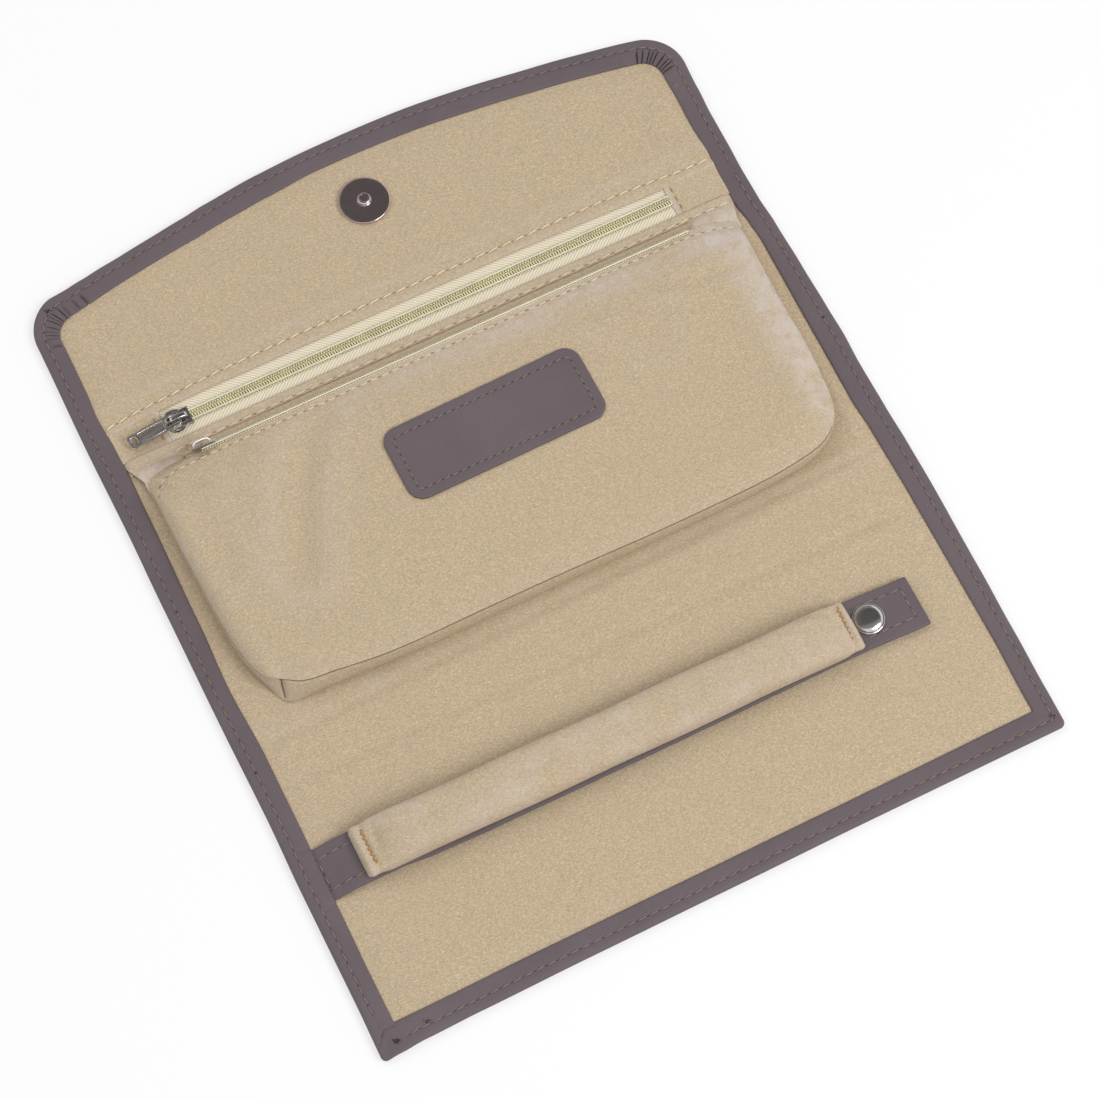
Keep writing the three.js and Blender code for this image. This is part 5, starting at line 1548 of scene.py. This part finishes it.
def box_loop(x0, x1, half, r):
    """Rectangle with rounded corners, from x0 to x1 and as far on both sides of the middle line."""
    corners = ((x1 - r, half - r), (x0 + r, half - r), (x0 + r, r - half), (x1 - r, r - half))
    return [tuple(p) for k, (cx, cy) in enumerate(corners)
            for p in arc(cx, cy, r, k * math.pi / 2, (k + 1) * math.pi / 2, 6)]


class JEWELRY_OT_zips(bpy.types.Operator):
    """Both zips: tapes, coils, end tabs, sliders and pull tabs"""

    bl_idname = "jewelry.zips"
    bl_label = "Zips"

    def execute(self, context):
        for which, body, coil in (("upper", "upper_spine", "coil"),
                                  ("lower", "pouch", "pale coil")):
            for side, word in ((1, "upper"), (-1, "lower")):
                self.chain(which, body, coil, side, word)
            self.slider(which)
            self.pull(which)
        origin = zip_frame("upper")[0]
        for word, side in (("upper", 1), ("lower", -1)):
            self.tape(f"upper_{{}}_{word}", -107, 107, ["upper_spine"],
                      [(origin[1] + side * a, origin[2] + 0.2) for a in (0.25, 2.5, 5, 7.4)])
        self.tape("lower_{}_upper", -99, 99, ["pouch", "middle"], [
            (213.75, 7.4), (214.4, 6.3), (215.0, 5.2), (216.0, 4.1), (217.4, 3.3), (219.2, 2.75),
            (220.6, 2.6)])
        self.tape("lower_{}_lower", -91, 92, ["pouch"], [
            (213.2, 8.2), (212.75, 8.9), (212.2, 9.2), (211.4, 9.3)])
        self.tabs()
        self.mouth()
        return {"FINISHED"}

    def chain(self, which, body, coil, side, word):
        """One side of the coil with its cord and the stitches that hold it to the tape."""
        pitch = sizes().coil_pitch / MM
        low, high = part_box(f"{which}_zip_coil_{word}")
        x0, x1 = low[0] / MM + 4, high[0] / MM
        x = np.arange(x0, x1, pitch)
        row = np.stack([x, np.full_like(x, side * 2.3), np.full_like(x, 0.42)], 1)
        cord = np.linspace((x0, side * 1.7, 1.12), (x1, side * 1.7, 1.12), 200)
        parts = [tube(zip_coil(x0, x1, side, pitch), 0.26, 5), tube(cord, 0.3, 6, 1),
                 stitches(row, [(1.0, 0.3 * side, 0)], 0.7, 0.22, 0.14)]
        obj = piece(f"{which}_coil_{word}", [moved(which, p) for p in parts], [coil, "cord"])
        attach(obj, [body], [f"{which}_zip_coil_{word}"], "coil")

    def tape(self, name, x0, x1, bodies, profile):
        """One tape, standing for its CAD node."""
        obj = piece(name.format("tape"), [tape(x0, x1, profile)], ["twill"], outward=True)
        attach(obj, bodies, [name.format("zip_tape")], "tape",
               *(MOUTH_BEND if len(bodies) == 2 else ()))

    def slider(self, which):
        """Die-cast slider: waisted top plate with turned-down flanges, back plate, wedge and
        bridge, which is a rounded bar carried along an arch."""
        cx = centre_of(f"{which}_zip_slider")[0]
        half = [(-4.2, -2.6), (-3.4, -3.7), (-1.6, -4.2), (0.2, -4.0), (1.6, -3.0), (2.6, -3.1),
                (4.3, -3.3), (4.5, -2.8)]
        half = [tuple(p) for p in rounded(half, 0.5, 3)]
        outline = [(cx + x, y) for x, y in half] + [(cx + x, -y) for x, y in reversed(half)]
        slim = [(cx + (x - cx) * 0.97, y * 0.96) for x, y in outline]
        flange = [(cx + x, y) for x, y in half] + [(cx + x, y + 0.75) for x, y in reversed(half)]
        mirrored = [(x, -y) for x, y in reversed(flange)]
        wedge = [(cx - 4.3, -0.4), (cx - 3.2, -0.6), (cx - 1, 0), (cx - 3.2, 0.6), (cx - 4.3, 0.4)]
        # Top plate, back plate, wedge and flanges, each from one height to another
        parts = [plate(outline, 1.6, 2.35, 0.3), plate(slim, -0.75, -0.36, 0.1),
                 plate(wedge, -0.5, 1.8, 0.05),
                 *(plate(loop, 0.4, 1.9, 0.12) for loop in (flange, mirrored))]
        a = np.linspace(0, math.pi, 25)
        path = np.stack([cx - 3.1 * np.cos(a) * (0.94 + 0.06 * np.sin(a)), 0 * a,
                         2.3 + 1.75 * np.sin(a) ** 0.55], 1)
        over = np.cross(heading(path), (0.0, 1.0, 0.0))
        b = full_turn(16)[:, None]
        wide, tall = squared(np.cos(b), 0.6) * 0.85, squared(np.sin(b), 0.6) * 0.33
        parts.append(surface(path[:, None] + wide * (0, 1.0, 0) + over[:, None] * tall,
                             closed=True))
        # The lower slider faces the flap: it gets a paler, rougher copy of the plating, painted
        # light, so that it is not a mere mirror
        plating = "nickel" if which == "upper" else "nickel lit copy"
        obj = piece(f"{which}_slider_cast", [moved(which, p) for p in parts], [plating],
                    outward=True)
        obj.data.set_sharp_from_angle(angle=0.6)
        attach(obj, [f"{which}_slider"], [f"{which}_zip_slider"], "nickel")

    def pull(self, which):
        """Pull tab: a plate with a window for the bridge, a sunk bare field and a slot at its end.
        It hangs a few degrees off the zip's line."""
        cx = centre_of(f"{which}_zip_slider")[0]
        # Height off the tape, both ends and half of the width
        z, x0, x1, half = 3.0, -19.1, 0.4, 2.6
        turn = math.radians(5.8 if which == "upper" else 1.5)
        outline = box_loop(x0, x1, half, 1.0)
        window = box_loop(-4.7, -0.5, 1.4, 0.5)[::-1]
        slot = box_loop(x0 + 0.95, x0 + 3.0, 1.4, 0.45)[::-1]
        field = box_loop(x0 + 3.9, -5.8, 1.75, 0.4)[::-1]
        parts = [plate(outline, z - 0.42, z + 0.1, 0.12, [window, slot]),
                 plate(outline, z + 0.02, z + 0.45, 0.27, [window, slot, field])]
        for part in parts:
            x, y = part["points"][:, :2].T.copy()
            part["points"][:, 0] = cx + x * math.cos(turn) - y * math.sin(turn)
            part["points"][:, 1] = x * math.sin(turn) + y * math.cos(turn)
        obj = piece(f"{which}_pull_tab", [moved(which, p) for p in parts], ["nickel"],
                    outward=True)
        obj.data.set_sharp_from_angle(angle=0.6)
        # The broad faces take another copy of the plating: a painted reflection, apart from the
        # edges
        paint_broad_faces(obj, zip_frame(which)[2], "nickel broad face reflection" if which == "upper" else "black nickel")
        attach(obj, [f"{which}_pull"], [f"{which}_zip_pull"], "nickel")

    def tabs(self):
        """Folded velour over the ends of the upper zip's tape: a sheet that turns under at its
        fold and is sewn down beside it."""
        for word, x0, x1 in (("left", -97.0, -118.0), ("right", 95.25, 118.0)):
            way = math.copysign(1, x0)
            inner = np.concatenate([np.linspace(0, 1.2, 12), np.linspace(1.5, abs(x1 - x0), 46)])
            gi, gy = crossed(inner, np.linspace(223.2, 236.6, 40))
            gx = x0 + way * gi + 0.25 * softness(gy, 0 * gy, 9, 33) * (1 - smoothstep(gi, 0, 4))
            z = LINING_TOP + 0.65 * quarter(gi, 0.8)
            z = z + 0.12 * hump(gi, 1.2, 0.8) - 0.2 * hump(gi, 2.6, 0.5)
            z = z + 0.06 * softness(gx, gy, 7, 31) * smoothstep(gi, 0, 2)
            nap = 0.9 * hump(gi, 0.6, 1.0) + 0.1
            line = [(x0 + way * 2.6, 224.4), (x0 + way * 2.6, 235.0)]
            thread = run_of_stitches(line, 2.72, 3.4, 2.4, lift=0.12)
            obj = piece(f"upper_tab_{word}",
                        [surface(np.stack([gx, gy, z], 2), nap=nap, flip=way < 0), *thread],
                        ["velour", "tan thread"], cloth=(0.4, -1))
            attach(obj, ["upper_spine"], [f"upper_zip_tab_{word}"], "velour")

    def mouth(self):
        """Velour band along the pouch's mouth: sewn to the lining above the lower zip, with a
        rounded lip over the tape; at both ends it rises to the pouch's fold and is tucked into
        it. The lip's profile and the ends' profile are mixed along x."""
        # (y, z) from the sewn edge out over the lip, and in under it
        lip = np.array([
            (221, 2.6), (220.2, 2.65), (219.6, 2.9), (218.9, 3.4), (218.1, 3.85), (217.4, 4.15),
            (216.8, 4.35), (216.35, 4.4), (216.1, 4.25), (216, 3.95), (216.2, 3.7),
            (216.6, 3.55), (217.2, 3.4), (217.8, 3.2)])
        u = np.linspace(-1, 1, 420)
        u = np.sign(u) * (1 - (1 - np.abs(u)) ** 1.25)
        x_low = np.where(u < 0, 115.6 * u, 115.0 * u)
        x_high = np.where(u < 0, 112.2 * u, 112.8 * u)
        fold = np.array(FOLD)
        yf, zf = (np.interp(x_high, fold[:, 0], fold[:, k])[:, None] for k in (1, 2))
        rise = np.linspace(0, 1, 11)
        sewn_y, rise_y, rise_z = 221.0, 220.2, 3.3
        ear_y = np.hstack([sewn_y + 0 * yf, rise_y + (yf + 0.3 - rise_y) * rise,
                           yf - 0.6, yf - 1.4])
        ear_z = np.hstack([2.6 + 0 * zf, rise_z + (zf - 0.6 - rise_z) * rise
                           + 0.8 * np.sin(math.pi * rise), zf - 1.2, zf - 1.5])
        ear = smoothstep(np.abs(x_high), 94.3, 96.8)[:, None]
        y = lip[:, 0] * (1 - ear) + ear_y * ear
        z = lip[:, 1] * (1 - ear) + ear_z * ear
        z = z + 0.08 * softness(x_high, 0 * u, 14, 41)[:, None] * (z > 2.9)
        share = np.clip((sewn_y - y) / 8, 0, 1)
        x = x_low[:, None] * (1 - share) + x_high[:, None] * share
        # Each of its profiles is smoothed to 40 points
        grid = np.stack([x, y, z], 2).transpose(1, 0, 2)
        grid = smooth_path(grid.reshape(len(lip), -1), 40).reshape(40, len(u), 3).transpose(1, 0, 2)
        # Painted light: the ends, raised up to the pouch's fold, are paler than the low lip
        nap = 0.15 + 0.7 * ear * smoothstep(grid[..., 2], 3, 5)
        obj = piece("pouch_mouth_band", [surface(grid, nap=nap)], ["velour"], cloth=(0.3, 1))
        attach(obj, ("pouch", "middle"), ["lower_zip_tab_left", "lower_zip_tab_right"], "velour",
               *MOUTH_BEND)


# ---------------------------------------------------------------- stage


def seen_directly(tree):
    """1 for rays from the camera, from a reflection or through glass, 0 for soft light."""
    ray = node(tree, "LightPath")
    seen = node(tree, "Math", {0: ray["Is Camera Ray"], 1: ray["Is Glossy Ray"]},
                operation="MAXIMUM")[0]
    return node(tree, "Math", {0: seen, 1: ray["Is Transmission Ray"]}, operation="MAXIMUM")[0]


def backdrop(name, points, faces, material):
    """A piece of the stage, out of a few flat faces, in metres."""
    mesh = bpy.data.meshes.new(name)
    mesh.from_pydata(points, [], faces)
    mesh.materials.append(material)
    obj = bpy.data.objects.new(name, mesh)
    bpy.context.scene.collection.objects.link(obj)
    return obj


class JEWELRY_OT_stage(bpy.types.Operator):
    """Pale floor, soft light and the camera"""

    bl_idname = "jewelry.stage"
    bl_label = "Stage"

    def execute(self, context):
        scene = context.scene
        scene.view_settings.view_transform = "Standard"
        self.world(scene)
        self.floor()
        self.card()
        self.camera(scene)
        self.lamps(scene)
        return {"FINISHED"}

    def world(self, scene):
        """Even white light: 1 where it is seen, less where it lights the roll."""
        scene.world = bpy.data.worlds.new("Studio")
        tree = emptied(scene.world)
        soft = 0.58
        strength = node(tree, "Math", {0: seen_directly(tree), 1: 1 - soft, 2: soft},
                        operation="MULTIPLY_ADD")[0]
        light = node(tree, "Background", {"Color": (1, 1, 1, 1), "Strength": strength})
        node(tree, "OutputWorld", {0: light[0]})

    def floor(self):
        """White paper just below the roll; a share of its white is its own, so that it stays
        white in the picture and still takes a shadow."""
        m = bpy.data.materials.new("White paper sweep")
        tree = emptied(m)
        share = node(tree, "Math", {0: seen_directly(tree), 1: 0.6}, operation="MULTIPLY")[0]
        paper = node(tree, "BsdfDiffuse", {"Color": (0.9, 0.9, 0.9, 1)})[0]
        glow = node(tree, "Emission", {"Color": (1, 1, 1, 1), "Strength": 1.0})[0]
        both = node(tree, "MixShader", {0: share, 1: paper, 2: glow})
        node(tree, "OutputMaterial", {0: both[0]})
        half, gap = 6.0, 0.00005
        backdrop("floor", [(-half, -half, -gap), (half, -half, -gap), (half, half, -gap),
                           (-half, half, -gap)], [(0, 1, 2, 3)], m)

    def card(self):
        """Grey tent above and behind the roll, open in front and at its sides: only reflections
        see it, so that the metal shows its form."""
        m = bpy.data.materials.new("Grey card")
        tree = emptied(m)
        # Dark over the roll, paler beyond a distance from its middle towards front and back
        dark, pale, middle, reach = 0.13, 0.30, 0.4, 0.48
        place = node(tree, "NewGeometry")["Position"]
        away = node(tree, "SeparateXYZ", {0: place})[1]
        away = node(tree, "Math", {0: away, 1: middle}, operation="SUBTRACT")[0]
        away = node(tree, "Math", {0: away}, operation="ABSOLUTE")[0]
        outside = node(tree, "Math", {0: away, 1: reach}, operation="GREATER_THAN")[0]
        strength = node(tree, "Math", {0: outside, 1: pale - dark, 2: dark},
                        operation="MULTIPLY_ADD")[0]
        glow = node(tree, "Emission", {"Color": (1, 0.95, 0.93, 1), "Strength": strength})
        node(tree, "OutputMaterial", {0: glow[0]})
        side, front, back, top, low = 1.3, -0.45, 1.3, 1.0, 0.4
        card = backdrop("tent", [
            (-side, front, top), (side, front, top), (side, back, top), (-side, back, top),
            (-side, back, low), (side, back, low)], [(0, 1, 2, 3), (3, 2, 5, 4)], m)
        for kind in ("camera", "diffuse", "transmission", "volume_scatter", "shadow"):
            setattr(card, f"visible_{kind}", False)

    def camera(self, scene):
        """The camera that was fitted to the photograph: its direction from the roll in degrees,
        and its distance and the point it looks at in millimetres."""
        azimuth, elevation = math.radians(-26.433), math.radians(68.043)
        distance, target = 1258.405, np.array((0.175, 132.067, 0.0))
        back = np.array((math.sin(azimuth) * math.cos(elevation),
                         -math.cos(azimuth) * math.cos(elevation), math.sin(elevation)))
        right = np.array((math.cos(azimuth), math.sin(azimuth), 0))
        up = np.cross(back, right)
        place = placed(target + back * distance)
        data = bpy.data.cameras.new("camera")
        data.lens, data.sensor_width, data.sensor_fit = 122.63, 36.0, "HORIZONTAL"
        data.clip_start, data.clip_end = 0.01, 50
        camera = bpy.data.objects.new("camera", data)
        camera.matrix_world = Matrix([
            (right[0], up[0], back[0], place[0]), (right[1], up[1], back[1], place[1]),
            (right[2], up[2], back[2], place[2]), (0, 0, 0, 1)])
        scene.collection.objects.link(camera)
        scene.camera = camera

    def lamps(self, scene):
        """Two large lamps that look at the roll, the key in front and the fill behind: each
        with its place in metres, its power in watts and its size in metres."""
        for name, place, power, size in (("key", (0.75, -0.95, 1.25), 16.0, 0.9),
                                         ("fill", (-0.8, 0.9, 1.4), 8.0, 1.2)):
            data = bpy.data.lights.new(name, "AREA")
            data.energy, data.size = power, size
            lamp = bpy.data.objects.new(name, data)
            lamp.location = place
            lamp.rotation_euler = (-Vector(place)).to_track_quat("-Z", "Y").to_euler()
            scene.collection.objects.link(lamp)


# ---------------------------------------------------------------- panel and main


OPERATORS = (
    JEWELRY_OT_stage,
    JEWELRY_OT_folder,
    JEWELRY_OT_lining,
    JEWELRY_OT_pouch,
    JEWELRY_OT_strap,
    JEWELRY_OT_magnet,
    JEWELRY_OT_zips,
)


class JEWELRY_PT_panel(bpy.types.Panel):
    """Buttons for each part of the roll"""

    bl_idname = "JEWELRY_PT_panel"
    bl_label = "Jewelry roll"
    bl_space_type = "VIEW_3D"
    bl_region_type = "UI"
    bl_category = "Jewelry roll"

    def draw(self, context):
        layout = self.layout
        for group in (context.scene.roll_sizes, context.scene.roll_colours):
            for key in group.__annotations__:
                layout.prop(group, key)
        for operator in OPERATORS:
            layout.operator(operator.bl_idname)


CLASSES = (RollSizes, RollColours, *OPERATORS, JEWELRY_PT_panel)


def register():
    for cls in CLASSES:
        bpy.utils.register_class(cls)
    bpy.types.Scene.roll_sizes = bpy.props.PointerProperty(type=RollSizes)
    bpy.types.Scene.roll_colours = bpy.props.PointerProperty(type=RollColours)


def unregister():
    del bpy.types.Scene.roll_colours
    del bpy.types.Scene.roll_sizes
    for cls in reversed(CLASSES):
        bpy.utils.unregister_class(cls)


def main():
    register()
    bpy.ops.jewelry.stage()
    bpy.ops.jewelry.folder()
    bpy.ops.jewelry.lining()
    bpy.ops.jewelry.pouch()
    bpy.ops.jewelry.strap()
    bpy.ops.jewelry.magnet()
    bpy.ops.jewelry.zips()


if __name__ == "__main__":
    main()
